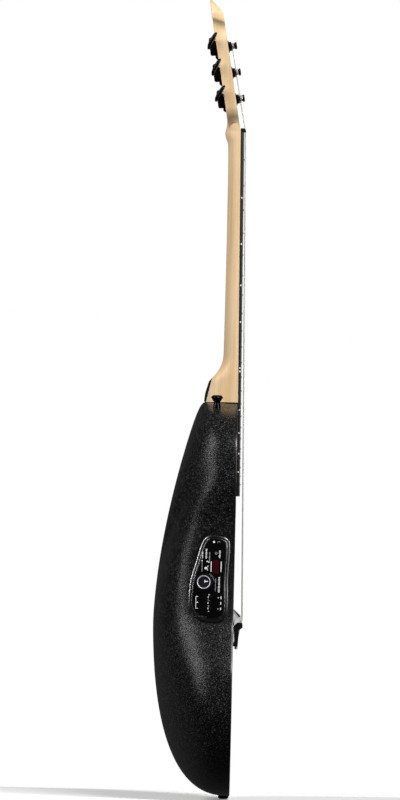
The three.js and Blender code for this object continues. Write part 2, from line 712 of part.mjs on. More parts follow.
const panelOutline = PANEL_OUTLINE_SHARES.map(([y, z]) => [y * PANEL_HALF_WIDTH, z * PANEL_HALF_HEIGHT]);
const windowOutline = inset(panelOutline, FRAME_BAND);
const collarOutline = inset(panelOutline, FRAME_BAND - COLLAR_WALL);
const plateOutline = inset(panelOutline, FRAME_BAND + SLIP);
const bowlHoleOutline = inset(panelOutline, FRAME_BAND - COLLAR_WALL - CLEAR);

function moved(manifold, matrix) {
  return solid(geometryOf(manifold), matrix);
}

bowl = bowl.subtract(moved(prism(bowlHoleOutline, 'x', -OVERRUN, COLLAR_DEPTH + OVERRUN), panel.matrixWorld));
bowl = bowl.subtract(rod(JACK_RADIUS + CLEAR, 'z', 0, END_PIN_Y, -OVERRUN, JACK_END_Z, TURNED_SIDES));
const adjusterHole = rod(
  ADJUSTER_RADIUS + SLIP, 'z', 0, ADJUSTER_Y, ADJUSTER_END_Z, ROD_FOOT_Z, SHAFT_SIDES,
);
bowl = bowl.subtract(adjusterHole);
const strapScrewBottomZ = STRAP_BUTTON_TOP_Z - STRAP_HEIGHT - STRAP_SCREW_LENGTH;
const strapHole = rod(
  STRAP_SCREW_RADIUS + CLEAR, 'z', STRAP_BUTTON_X, STRAP_BUTTON_Y,
  strapScrewBottomZ - CLEAR, STRAP_BUTTON_TOP_Z, SHAFT_SIDES,
);
bowl = bowl.subtract(strapHole);
piece('bowl', bowl, MATERIALS.bowl);

// Blocks at the two ends of the bowl
const neckBlock = box(
  [-NECK_BLOCK_HALF_WIDTH, NECK_BLOCK_HALF_WIDTH],
  [RIM_Y + CLEAR, NECK_BLOCK_BACK_Y],
  [BODY_TOP_Z - NECK_BLOCK_HEIGHT, BODY_TOP_Z],
).intersect(insideBowl)
  .subtract(adjusterHole)
  .subtract(strapHole);
piece('neck_block', neckBlock, MATERIALS.block);

const tailBlock = box(
  [-TAIL_BLOCK_HALF_WIDTH, TAIL_BLOCK_HALF_WIDTH],
  [RIM_Y + CLEAR, TAIL_BLOCK_BACK_Y],
  [0, BODY_BOTTOM_Z + TAIL_BLOCK_HEIGHT],
).intersect(insideBowl)
  .subtract(rod(JACK_RADIUS + CLEAR, 'z', 0, END_PIN_Y, -OVERRUN, JACK_END_Z, TURNED_SIDES));
piece('tail_block', tailBlock, MATERIALS.block);

// Binding round the edge
piece(
  'edge_binding',
  prism(flatOutline(0), 'y', 0, RIM_Y - SEAT, [flatOutline(BINDING_WIDTH)]),
  MATERIALS.blackWood,
);

// Strings: where each one crosses the nut and the saddle, and how it leaves the bridge

const stringCount = STRING_NAMES.length;
const nutCrestZ = NUT_FACE_Z + SEAT;
const boardSlope = (BOARD_FRONT_AT_END - BOARD_FRONT_AT_NUT) / (NUT_FACE_Z - BOARD_END_Z);

function boardFrontY(z) {
  return BOARD_FRONT_AT_NUT + boardSlope * (NUT_FACE_Z - z);
}

function camberDrop(x) {
  return BOARD_CAMBER_RADIUS - Math.sqrt(BOARD_CAMBER_RADIUS ** 2 - x ** 2);
}

function spread(width, i) {
  return width * (i / (stringCount - 1)) - width / 2;
}

const head = new THREE.Group();
head.position.set(0, HEAD_ORIGIN_Y, HEAD_ORIGIN_Z);
head.rotation.set(-HEAD_PITCH, 0, 0);
head.updateMatrixWorld(true);
guitar.add(head);
const toHead = head.matrixWorld.clone().invert();

const bassSide = (i) => i < stringCount / 2;
const tunerRow = (i) => (bassSide(i) ? i : stringCount - 1 - i);
const tunerSide = (i) => (bassSide(i) ? -1 : 1);
const tunerAlong = (i) => TUNER_FIRST_ALONG + TUNER_PITCH * tunerRow(i);
const tunerX = (i) => tunerSide(i) * POST_X_SHARES[tunerRow(i)] * HEAD_HALF_WIDTH;

function windingPoints(i, from) {
  const radius = STRING_DIAMETERS[i] / 2;
  const around = POST_RADIUS + radius + POST_GAP;
  const side = tunerSide(i);
  const centre = new THREE.Vector2(-side * tunerX(i), tunerAlong(i));
  const start = new THREE.Vector2(-side * from.x, from.z).sub(centre);
  const firstAngle = start.angle() + Math.acos(around / start.length());
  const turns = STRING_LOOPS[i];
  const steps = Math.round(turns * LOOP_STEPS);
  const pitch = STRING_DIAMETERS[i] + TURN_GAP;
  const firstY = -(HEX_HEIGHT + radius + POST_GAP);
  const points = [];
  for (let s = 0; s <= steps; s++) {
    const angle = firstAngle + (s / LOOP_STEPS) * Math.PI * 2;
    const x = centre.x + around * Math.cos(angle);
    const z = centre.y + around * Math.sin(angle);
    points.push(new THREE.Vector3(-side * x, firstY - (s / LOOP_STEPS) * pitch, z));
  }
  const last = points[points.length - 1];
  const before = points[points.length - 2];
  points.push(last.clone().add(last.clone().sub(before).setLength(STRING_DIAMETERS[i])));
  return points;
}

function leastTurnGap(points, diameter) {
  let least = Infinity;
  for (let a = 0; a < points.length; a++) {
    for (let b = a + LOOP_STEPS / 2; b < points.length; b++) {
      least = Math.min(least, points[a].distanceTo(points[b]) - diameter);
    }
  }
  return least;
}

function stringRoute(i) {
  const radius = STRING_DIAMETERS[i] / 2;
  const nutX = spread(STRING_SPREAD_AT_NUT, i);
  const saddleX = spread(STRING_SPREAD_AT_SADDLE, i);
  const nutY = BOARD_FRONT_AT_NUT - SLOT_FLOOR_ABOVE_BOARD - radius + camberDrop(nutX);
  const saddleY = SADDLE_STRING_Y + camberDrop(saddleX) + STRING_DIAMETERS[0] / 2 - radius;
  const nutCrest = new THREE.Vector3(nutX, nutY, nutCrestZ + radius);
  const winding = windingPoints(i, nutCrest.clone().applyMatrix4(toHead));
  const leastGap = leastTurnGap(winding, STRING_DIAMETERS[i]);
  console.log(STRING_NAMES[i], 'least gap between turns', leastGap.toFixed(2));
  return [
    new THREE.Vector3(saddleX, STRING_HOLE_TAIL_Y, BRIDGE_TAIL_Z - CLEAR - BALL_LENGTH),
    new THREE.Vector3(saddleX, STRING_HOLE_TAIL_Y, BRIDGE_TAIL_Z - CLEAR),
    new THREE.Vector3(saddleX, STRING_HOLE_FRONT_Y, RIDGE_FRONT_Z),
    new THREE.Vector3(saddleX, saddleY + SADDLE_TURN_DROP, SADDLE_CREST_Z - SADDLE_TURN_DROP),
    new THREE.Vector3(saddleX, saddleY, SADDLE_CREST_Z + SADDLE_TURN_DROP),
    nutCrest,
    ...winding.map((point) => point.clone().applyMatrix4(head.matrixWorld)),
  ];
}

const routes = STRING_NAMES.map((_, i) => stringRoute(i));

function stringWays(extra, from, to) {
  return routes
    .map((route, i) => tube(route.slice(from, to), STRING_DIAMETERS[i] / 2 + extra, STRING_SIDES))
    .reduce((all, one) => all.add(one));
}

STRING_NAMES.forEach((name, i) => {
  const ball = rod(
    BALL_RADIUS, 'z', routes[i][0].x, STRING_HOLE_TAIL_Y,
    BRIDGE_TAIL_Z - CLEAR - BALL_LENGTH, BRIDGE_TAIL_Z - CLEAR, BALL_SIDES,
  );
  const string = tube(routes[i], STRING_DIAMETERS[i] / 2, STRING_SIDES);
  piece(name, string.add(ball), i < WOUND_COUNT ? MATERIALS.brass : MATERIALS.steel);
});

// Soundboard, with holes for the sound and for the pickup's lead

const leadHoleX = -SADDLE_HALF_WIDTH + LEAD_HOLE_INSET;
const saddleMiddleZ = (SADDLE_FRONT_Z + SADDLE_BACK_Z) / 2;
const leadHole = circle(LEAD_RADIUS + SLIP, LEAD_SIDES, leadHoleX, saddleMiddleZ);
const soundHoles = SOUND_HOLE_SHARES.map(([x, z, radius]) => circle(
  radius * SOUND_HOLE_RADIUS,
  SOUND_HOLE_SIDES,
  x * HALF_LOWER_BOUT,
  BODY_BOTTOM_Z + z * BODY_LENGTH,
));
piece(
  'soundboard',
  prism(flatOutline(BINDING_WIDTH + SEAT), 'y', 0, RIM_Y - SEAT, [leadHole, ...soundHoles]),
  MATERIALS.spruce,
);

// Bars glued behind the soundboard, thinned toward their ends

const BRACE_FRONT_Y = RIM_Y;

function brace(from, to) {
  const run = new THREE.Vector2(to[0] - from[0], to[1] - from[1]);
  const length = run.length();
  const profile = [
    [0, 0], [length, 0], [length, BRACE_END_HEIGHT], [length - BRACE_TAPER_LENGTH, BRACE_HEIGHT],
    [BRACE_TAPER_LENGTH, BRACE_HEIGHT], [0, BRACE_END_HEIGHT],
  ];
  const bar = new THREE.ExtrudeGeometry(
    new THREE.Shape(profile.map(([a, b]) => new THREE.Vector2(a, b))),
    { depth: BRACE_WIDTH, bevelEnabled: false },
  );
  bar.translate(0, BRACE_FRONT_Y, -BRACE_WIDTH / 2);
  const turn = new THREE.Matrix4().makeRotationY(-run.angle());
  const place = new THREE.Matrix4().makeTranslation(from[0], 0, from[1]);
  return solid(bar, place.multiply(turn));
}

const crossSlope = (X_BRACE_CROSSING_Z - X_BRACE_LOW_Z) / X_BRACE_HALF_SPAN;
const braceTopZ = X_BRACE_CROSSING_Z + crossSlope * X_BRACE_UPPER_SPAN;
const bassBar = brace([-X_BRACE_HALF_SPAN, X_BRACE_LOW_Z], [X_BRACE_UPPER_SPAN, braceTopZ]);
const trebleBar = brace([X_BRACE_HALF_SPAN, X_BRACE_LOW_Z], [-X_BRACE_UPPER_SPAN, braceTopZ]);
const halfLap = BRACE_FRONT_Y + BRACE_HEIGHT / 2;
const lapZ = [X_BRACE_CROSSING_Z - OVERRUN, X_BRACE_CROSSING_Z + OVERRUN];
const frontHalf = box([-OVERRUN, OVERRUN], [-OVERRUN, halfLap + SEAT], lapZ);
const backHalf = box([-OVERRUN, OVERRUN], [halfLap - SEAT, halfLap + OVERRUN], lapZ);
piece('x_brace_bass', bassBar.subtract(trebleBar.intersect(frontHalf)), MATERIALS.spruce);
piece('x_brace_treble', trebleBar.subtract(bassBar.intersect(backHalf)), MATERIALS.spruce);
piece(
  'upper_brace',
  brace([UPPER_BRACE_BASS_X, UPPER_BRACE_Z], [UPPER_BRACE_TREBLE_X, UPPER_BRACE_Z]),
  MATERIALS.spruce,
);

// Bridge with its ramp, saddle slot, string ridge, tail and two thin wings

const saddleX = [-SADDLE_HALF_WIDTH, SADDLE_HALF_WIDTH];
const pickupTop = -SADDLE_SLOT_FLOOR - PICKUP_THICKNESS;
const bridgeProfile = [
  [0, BRIDGE_FRONT_Z], [-BRIDGE_LIP_HEIGHT, BRIDGE_FRONT_Z],
  [-BRIDGE_RAMP_HEIGHT, SADDLE_FRONT_Z + BRIDGE_SLOT_EDGE], [-BRIDGE_RAMP_HEIGHT, RIDGE_FRONT_Z],
  [-BRIDGE_RIDGE_HEIGHT + BRIDGE_LIP_HEIGHT, RIDGE_FRONT_Z],
  [-BRIDGE_RIDGE_HEIGHT, RIDGE_FRONT_Z - BRIDGE_LIP_HEIGHT],
  [-BRIDGE_RIDGE_HEIGHT, RIDGE_BACK_Z], [-BRIDGE_TAIL_HEIGHT, RIDGE_BACK_Z - BRIDGE_STEP],
  [-BRIDGE_TAIL_LIP_HEIGHT, BRIDGE_TAIL_Z], [0, BRIDGE_TAIL_Z],
].map(([y, z]) => [y - SEAT, z]);
const wingOutline = BRIDGE_WING_SHARES.map(([x, z]) => [
  x * BRIDGE_HALF_WIDTH,
  BRIDGE_TAIL_Z + z * (BRIDGE_FRONT_Z - BRIDGE_TAIL_Z),
]);
const wings = prism(
  [...wingOutline, ...wingOutline.map(([x, z]) => [-x, z]).reverse()], 'y', -BRIDGE_WING_HEIGHT, -SEAT,
);
const saddleSlot = box(
  [saddleX[0] - SEAT, saddleX[1] + SEAT],
  [-OVERRUN, -SADDLE_SLOT_FLOOR],
  [SADDLE_BACK_Z - SEAT, SADDLE_FRONT_Z + SEAT],
);
const leadHoleRod = rod(LEAD_RADIUS + SLIP, 'y', leadHoleX, saddleMiddleZ, -OVERRUN, OVERRUN, LEAD_SIDES);
const bridge = prism(bridgeProfile, 'x', -BRIDGE_HALF_CORE, BRIDGE_HALF_CORE)
  .add(wings)
  .subtract(saddleSlot)
  .subtract(leadHoleRod)
  .subtract(stringWays(HOLE_CLEARANCE, 0, POINTS_IN_BRIDGE));
piece('bridge', bridge, MATERIALS.blackWood);

// Saddle: a ramp up to a crest that follows the strings
const saddleStations = Array.from({ length: SADDLE_STEPS + 1 }, (_, i) => {
  const x = SADDLE_HALF_WIDTH * ((2 * i) / SADDLE_STEPS - 1);
  const crestY = SADDLE_STRING_Y + SADDLE_REST_GAP + STRING_DIAMETERS[0] / 2 + camberDrop(x);
  const floorY = pickupTop - SEAT;
  return [
    [floorY, SADDLE_FRONT_Z], [crestY + SADDLE_RAMP_RISE, SADDLE_FRONT_Z],
    [crestY, SADDLE_CREST_Z + SADDLE_TURN_DROP], [crestY, SADDLE_CREST_Z],
    [crestY + SADDLE_RAMP_RISE, SADDLE_BACK_Z], [floorY, SADDLE_BACK_Z],
  ].map(([y, z]) => new THREE.Vector3(x, y, z));
});
piece('saddle', loft(saddleStations), MATERIALS.white);

// Strip pickup under the saddle, and its lead down to the socket block of the preamp's surround

const socketHere = new THREE.Vector3(COLLAR_DEPTH, SOCKET_Y, SOCKET_Z);
const socketMouth = socketHere.clone().add(new THREE.Vector3(SOCKET_BLOCK_DEPTH + CLEAR, 0, 0));
const plugAt = (y) => socketMouth.clone().add(new THREE.Vector3(0, y, 0)).applyMatrix4(panel.matrixWorld);
const pickupPlug = plugAt(-LEAD_PAIR_OFFSET);
const jackPlug = plugAt(LEAD_PAIR_OFFSET);
const intoBody = new THREE.Vector3(1, 0, 0).transformDirection(panel.matrixWorld);

function leadRoute(points, steps) {
  return new THREE.CatmullRomCurve3(points, false, 'centripetal').getSpacedPoints(steps);
}

const pickupLead = leadRoute([
  new THREE.Vector3(leadHoleX, -SADDLE_SLOT_FLOOR - PICKUP_THICKNESS / 2, saddleMiddleZ),
  new THREE.Vector3(leadHoleX, RIM_Y, saddleMiddleZ),
  new THREE.Vector3(leadHoleX, LEAD_TURN_Y, saddleMiddleZ),
  new THREE.Vector3(leadHoleX - LEAD_STRAIGHT, LEAD_LOW_Y, saddleMiddleZ - LEAD_SAG),
  pickupPlug.clone().addScaledVector(intoBody, LEAD_STRAIGHT),
  pickupPlug.clone().addScaledVector(intoBody, LEAD_RADIUS * 2),
  pickupPlug,
], PICKUP_LEAD_STEPS);
const strip = box(saddleX, [pickupTop, -SADDLE_SLOT_FLOOR - SEAT], [SADDLE_BACK_Z, SADDLE_FRONT_Z]);
piece('saddle_pickup', strip.add(tube(pickupLead, LEAD_RADIUS, LEAD_SIDES)), MATERIALS.plastic);

const jackLead = leadRoute([
  jackPlug,
  jackPlug.clone().addScaledVector(intoBody, LEAD_RADIUS * 2),
  jackPlug.clone().addScaledVector(intoBody, LEAD_STRAIGHT),
  ...JACK_LEAD_SHARES.map(([x, y, z]) => (
    new THREE.Vector3(x * HALF_LOWER_BOUT, y * BOWL_DEPTH, z * BODY_LENGTH)
  )),
  new THREE.Vector3(0, END_PIN_Y, JACK_END_Z + LEAD_STRAIGHT),
  new THREE.Vector3(0, END_PIN_Y, JACK_END_Z + LEAD_RADIUS * 2),
  new THREE.Vector3(0, END_PIN_Y, JACK_END_Z + CLEAR),
], JACK_LEAD_STEPS);
piece('jack_lead', tube(jackLead, LEAD_RADIUS, LEAD_SIDES), MATERIALS.plastic);

// Neck: a loft from the body to behind the nut, joined to the headstock

function boardWidth(z) {
  const share = (NUT_FACE_Z - z) / (NUT_FACE_Z - BODY_TOP_Z);
  return NUT_WIDTH + (BODY_WIDTH_AT_NECK - NUT_WIDTH) * share;
}

function glueLineY(z) {
  const share = Math.min(1, (NUT_FACE_Z - z) / (NUT_FACE_Z - BODY_TOP_Z));
  return THREE.MathUtils.lerp(BOARD_FRONT_AT_NUT + BOARD_THICKNESS, -SEAT, share);
}

const heelFall = HEEL_DEPTH - NECK_BACK_Y;
const neckStations = [
  ...HEEL_CURVE_SHARES.map(([up, deep]) => ({
    z: BODY_TOP_Z + CLEAR + up * HEEL_HEIGHT,
    back: NECK_BACK_Y + deep * heelFall,
    heel: deep,
  })).reverse(),
  ...VOLUTE_SHARES.map(([along, rise]) => ({
    z: NUT_FACE_Z + along * VOLUTE_LENGTH,
    back: NECK_BACK_Y + rise * VOLUTE_HEIGHT,
    heel: 0,
  })),
];

function neckRing({ z, back, heel }) {
  const throat = HEAD_ORIGIN_Y + (z - HEAD_ORIGIN_Z) * Math.tan(HEAD_PITCH) + THROAT_COVER;
  const front = z > HEAD_ORIGIN_Z ? throat : glueLineY(z);
  const power = THREE.MathUtils.lerp(NECK_POWER, HEEL_POWER, Math.min(1, heel / HEEL_SQUARE_SHARE));
  const ring = [];
  for (let s = 0; s <= NECK_ARC_STEPS; s++) {
    const angle = (s / NECK_ARC_STEPS) * Math.PI;
    const deep = Math.sin(angle) ** (2 / power);
    const across = Math.sign(Math.cos(angle)) * Math.abs(Math.cos(angle)) ** (2 / power);
    const taper = 1 - HEEL_TAPER_SHARE * heel * deep;
    const halfWidth = (Math.min(boardWidth(z), BODY_WIDTH_AT_NECK) / 2) * taper;
    ring.push(new THREE.Vector3(halfWidth * across, front + (back - front) * deep, z));
  }
  return ring;
}

const headOutline = HEAD_OUTLINE_SHARES.map(([along, across]) => [
  across * HEAD_HALF_WIDTH,
  along === 0 ? -HEAD_ROOT : along * HEAD_LENGTH,
]);
const headSide = [
  [0, -HEAD_ROOT - SEAT], [0, HEAD_LENGTH - HEAD_TIP_BEVEL],
  [HEAD_THICKNESS - HEAD_TIP_THICKNESS, HEAD_LENGTH], [HEAD_THICKNESS, HEAD_LENGTH],
  [HEAD_THICKNESS, -HEAD_ROOT - SEAT],
];
let headstock = prism(
  [...headOutline, ...headOutline.map(([x, z]) => [-x, z]).reverse()], 'y', 0, HEAD_THICKNESS,
).intersect(prism(headSide, 'x', -HEAD_HALF_WIDTH, HEAD_HALF_WIDTH));
STRING_NAMES.forEach((_, i) => {
  headstock = headstock.subtract(
    rod(BUSHING_TUBE_RADIUS + CLEAR, 'y', tunerX(i), tunerAlong(i), -OVERRUN, OVERRUN, SHAFT_SIDES),
  );
});

const rodChannel = box(
  [-ROD_WIDTH / 2 - CLEAR, ROD_WIDTH / 2 + CLEAR],
  [-OVERRUN, ROD_BACK_Y + CLEAR],
  [0, ROD_TOP_Z + CLEAR],
);
const wholeNeck = loft(neckStations.map(neckRing))
  .add(moved(headstock, head.matrixWorld))
  .subtract(rodChannel);

// The heel's end is sliced off along a slanting plane, and its cap is the slice
const capSlope = (HEEL_DEPTH - HEEL_CAP_LIP_Y) / (HEEL_CAP_LIP_Z - BODY_TOP_Z);
const capSide = (lift) => [
  [HEEL_DEPTH - HEEL_CAP_THICKNESS + lift, BODY_TOP_Z],
  [HEEL_CAP_LIP_Y - HEEL_CAP_THICKNESS - capSlope * OVERRUN + lift, HEEL_CAP_LIP_Z + OVERRUN],
  [HEEL_DEPTH + OVERRUN, HEEL_CAP_LIP_Z + OVERRUN], [HEEL_DEPTH + OVERRUN, BODY_TOP_Z],
];
const heelEnd = (lift) => prism(capSide(lift), 'x', -BODY_WIDTH_AT_NECK, BODY_WIDTH_AT_NECK);
piece('neck', wholeNeck.subtract(heelEnd(0)), MATERIALS.maple);
piece('heel_cap', wholeNeck.intersect(heelEnd(SEAT)), MATERIALS.blackWood);

// Truss rod in its channel, with the adjuster that reaches into the body
const trussRod = box([-ROD_WIDTH / 2, ROD_WIDTH / 2], [ROD_FRONT_Y, ROD_BACK_Y], [ROD_FOOT_Z, ROD_TOP_Z])
  .add(rod(ADJUSTER_RADIUS, 'z', 0, ADJUSTER_Y, ADJUSTER_END_Z, ROD_FOOT_Z + ADJUSTER_RADIUS, SHAFT_SIDES))
  .subtract(rod(
    ADJUSTER_SOCKET_RADIUS, 'z', 0, ADJUSTER_Y,
    ADJUSTER_END_Z - ADJUSTER_SOCKET_DEPTH, ADJUSTER_END_Z + ADJUSTER_SOCKET_DEPTH, HEX_SIDES,
  ));
piece('truss_rod', trussRod, MATERIALS.rod);

// Fingerboard with a cambered front, and frets that follow the camber

function camberedRing(z, frontY, backY, halfWidth, lift) {
  const ring = [new THREE.Vector3(halfWidth, backY, z), new THREE.Vector3(-halfWidth, backY, z)];
  for (let s = 0; s <= BOARD_CAMBER_STEPS; s++) {
    const x = halfWidth * ((2 * s) / BOARD_CAMBER_STEPS - 1);
    ring.push(new THREE.Vector3(x, frontY - lift + camberDrop(x), z));
  }
  return ring;
}

const boardStations = [BOARD_END_Z, BODY_TOP_Z, NUT_FACE_Z - SEAT];
let fingerboard = loft(boardStations.map((z) => (
  camberedRing(z, boardFrontY(z), glueLineY(z) - SEAT, boardWidth(z) / 2, 0)
)));
for (let fret = 1; fret <= FRET_COUNT; fret++) {
  const z = fretZ(fret);
  const half = FRET_WIDTH / 2;
  const crown = half * FRET_CROWN_SHARE;
  const levels = [[-half, -FRET_SINK], [-crown, FRET_HEIGHT], [crown, FRET_HEIGHT], [half, -FRET_SINK]];
  const rings = [];
  for (let s = 0; s <= BOARD_CAMBER_STEPS; s++) {
    const x = (boardWidth(z) / 2 - FRET_END_INSET) * ((2 * s) / BOARD_CAMBER_STEPS - 1);
    rings.push(levels.map(([along, lift]) => (
      new THREE.Vector3(x, boardFrontY(z + along) - lift + camberDrop(x), z + along)
    )));
  }
  fingerboard = fingerboard.add(loft(rings));
}
piece('fingerboard', fingerboard, MATERIALS.ebony);

// Nut, rounded in front and slotted for the strings
const nutFrontY = BOARD_FRONT_AT_NUT - NUT_PROUD;
const nutBackY = glueLineY(NUT_FACE_Z) - SEAT;
const nutProfile = [
  [nutBackY, NUT_FACE_Z], [nutFrontY, NUT_FACE_Z], [nutFrontY, NUT_FACE_Z + NUT_LENGTH * NUT_ROUND_SHARE],
  [nutFrontY + NUT_PROUD / 2, NUT_FACE_Z + NUT_LENGTH * (1 - NUT_ROUND_SHARE / 2)],
  [nutFrontY + NUT_PROUD * 2, NUT_FACE_Z + NUT_LENGTH], [nutBackY, NUT_FACE_Z + NUT_LENGTH],
];
const nut = prism(nutProfile, 'x', -NUT_WIDTH / 2, NUT_WIDTH / 2)
  .subtract(stringWays(STRING_REST_GAP, POINTS_IN_BRIDGE, POINTS_TO_FIRST_LOOP));
piece('nut', nut, MATERIALS.blackWood);

// Tuners

STRING_NAMES.forEach((_, i) => {
  const number = stringCount - i;
  const side = tunerSide(i);
  const tuner = new THREE.Group();
  tuner.position.set(tunerX(i), 0, tunerAlong(i));
  head.add(tuner);

  const washer = turned([
    [POST_RADIUS + SLIP, -SEAT], [WASHER_RADIUS, -SEAT], [WASHER_RADIUS, -WASHER_HEIGHT],
    [POST_RADIUS + SLIP, -WASHER_HEIGHT],
  ], 'y', 0, 0, POST_SIDES);
  const hexHeight = HEX_HEIGHT - WASHER_HEIGHT / 2;
  const hex = new THREE.CylinderGeometry(HEX_RADIUS, HEX_TOP_RADIUS, hexHeight, HEX_SIDES);
  hex.translate(0, -(HEX_HEIGHT + WASHER_HEIGHT / 2) / 2, 0);
  const bushing = solid(hex)
    .add(washer)
    .add(rod(BUSHING_TUBE_RADIUS, 'y', 0, 0, -WASHER_HEIGHT, BUSHING_TUBE_LENGTH, SHAFT_SIDES))
    .subtract(rod(POST_RADIUS + SLIP, 'y', 0, 0, -OVERRUN, OVERRUN, SHAFT_SIDES));
  piece(`tuner_bushing_${number}`, bushing, MATERIALS.gloss, tuner);

  const back = HEAD_THICKNESS + SEAT;
  const wormY = back + PLATE_THICKNESS + HOUSING_DEPTH / 2 - WORM_RISE;
  const plate = prism([
    [-PLATE_WIDTH / 2, HOUSING_SHIFT - PLATE_LENGTH / 2], [-EAR_RADIUS, HOUSING_SHIFT - PLATE_LENGTH / 2],
    [-EAR_RADIUS * EAR_NECK_SHARE, HOUSING_SHIFT - PLATE_LENGTH / 2 - EAR_LENGTH],
    [EAR_RADIUS * EAR_NECK_SHARE, HOUSING_SHIFT - PLATE_LENGTH / 2 - EAR_LENGTH],
    [EAR_RADIUS, HOUSING_SHIFT - PLATE_LENGTH / 2], [PLATE_WIDTH / 2, HOUSING_SHIFT - PLATE_LENGTH / 2],
    [PLATE_WIDTH / 2, HOUSING_SHIFT + PLATE_LENGTH / 2], [-PLATE_WIDTH / 2, HOUSING_SHIFT + PLATE_LENGTH / 2],
  ], 'y', back, back + PLATE_THICKNESS);
  const deep = back + PLATE_THICKNESS + HOUSING_DEPTH;
  const cover = prism([
    [back, HOUSING_SHIFT - HOUSING_LENGTH / 2],
    [deep - HOUSING_ROUND, HOUSING_SHIFT - HOUSING_LENGTH / 2],
    [deep, HOUSING_SHIFT - HOUSING_LENGTH / 2 + HOUSING_ROUND],
    [deep, WORM_OFFSET + HOUSING_ROUND / 2],
    [deep - HOUSING_ROUND, WORM_OFFSET + WORM_HUMP],
    [wormY - SHAFT_RADIUS, WORM_OFFSET + WORM_HUMP],
    [back, HOUSING_SHIFT + HOUSING_LENGTH / 2],
  ], 'x', -HOUSING_WIDTH / 2, HOUSING_WIDTH / 2);
  const footY = back + PLATE_THICKNESS + POST_FOOT;
  const collar = rod(
    SHAFT_RADIUS + COLLAR_EXTRA, 'x', wormY, WORM_OFFSET,
    ...inOrder(0, side * (HOUSING_WIDTH / 2 + COLLAR_REACH)), SHAFT_SIDES,
  );
  const housing = plate.add(cover).add(collar)
    .subtract(rod(POST_RADIUS + SLIP, 'y', 0, 0, 0, footY + SLIP, SHAFT_SIDES))
    .subtract(rod(
      SHAFT_RADIUS + SLIP, 'x', wormY, WORM_OFFSET, ...inOrder(0, side * OVERRUN), SHAFT_SIDES,
    ));
  piece(`tuner_housing_${number}`, housing, MATERIALS.gloss, tuner);

  const post = turned([
    [0, footY], [POST_RADIUS, footY], [POST_RADIUS, POST_CAP_HEIGHT - POST_HEIGHT],
    [POST_CAP_RADIUS, POST_CAP_HEIGHT - POST_HEIGHT],
    [POST_CAP_RADIUS, CAP_ROUND - POST_HEIGHT], [POST_CAP_RADIUS - CAP_ROUND, -POST_HEIGHT],
    [0, -POST_HEIGHT],
  ], 'y', 0, 0, POST_SIDES);
  piece(`tuner_post_${number}`, post, MATERIALS.gloss, tuner);

  const buttonFrom = HOUSING_WIDTH / 2 + BUTTON_GAP;
  const half = BUTTON_OUTLINE_SHARES.map(([out, up]) => [
    out * BUTTON_REACH,
    up * BUTTON_SPAN - BUTTON_BEVEL,
  ]);
  const outline = [...half, ...half.map(([out, up]) => [out, -up]).reverse()]
    .filter(([out, up]) => out > 0 || up > 0)
    .map(([out, up]) => new THREE.Vector2(out, up));
  const button = new THREE.ExtrudeGeometry(new THREE.Shape(outline), {
    depth: BUTTON_THICKNESS - BUTTON_BEVEL * 2,
    bevelThickness: BUTTON_BEVEL,
    bevelSize: BUTTON_BEVEL,
    bevelSegments: 1,
  });
  button.translate(0, 0, BUTTON_BEVEL - BUTTON_THICKNESS / 2);
  const place = new THREE.Matrix4().makeTranslation(side * buttonFrom, wormY, WORM_OFFSET)
    .multiply(new THREE.Matrix4().makeRotationX(BUTTON_TURN[tunerRow(i)]))
    .multiply(new THREE.Matrix4().set(side, 0, 0, 0, 0, 0, 1, 0, 0, 1, 0, 0, 0, 0, 0, 1));
  const whole = solid(button, place)
    .add(rod(
      SHAFT_RADIUS, 'x', wormY, WORM_OFFSET,
      ...inOrder(side * SLIP, side * (buttonFrom + BUTTON_REACH / 2)), SHAFT_SIDES,
    ));
  piece(`tuner_button_${number}`, whole, MATERIALS.gloss, tuner);
});

// Strap button on the bass shoulder, shaped to the bowl under it
const strapBottomZ = STRAP_BUTTON_TOP_Z - STRAP_HEIGHT;
const strapButton = turned([
  [0, STRAP_BUTTON_TOP_Z], [STRAP_HEAD_RADIUS - STRAP_ROUND, STRAP_BUTTON_TOP_Z],
  [STRAP_HEAD_RADIUS, STRAP_BUTTON_TOP_Z - STRAP_ROUND],
  [STRAP_HEAD_RADIUS, STRAP_BUTTON_TOP_Z - STRAP_ROUND * 2],
  [STRAP_WAIST_RADIUS, STRAP_BUTTON_TOP_Z - STRAP_WAIST_FROM],
  [STRAP_WAIST_RADIUS, STRAP_BUTTON_TOP_Z - STRAP_WAIST_TO], [STRAP_BASE_RADIUS, strapBottomZ + STRAP_ROUND],
  [STRAP_BASE_RADIUS, strapBottomZ - OVERRUN / 2], [0, strapBottomZ - OVERRUN / 2],
], 'z', STRAP_BUTTON_X, STRAP_BUTTON_Y, TURNED_SIDES)
  .subtract(aroundBowl)
  .add(rod(
    STRAP_SCREW_RADIUS, 'z', STRAP_BUTTON_X, STRAP_BUTTON_Y,
    strapScrewBottomZ, STRAP_BUTTON_TOP_Z - STRAP_ROUND, SHAFT_SIDES,
  ));
piece('strap_button', strapButton, MATERIALS.gloss);

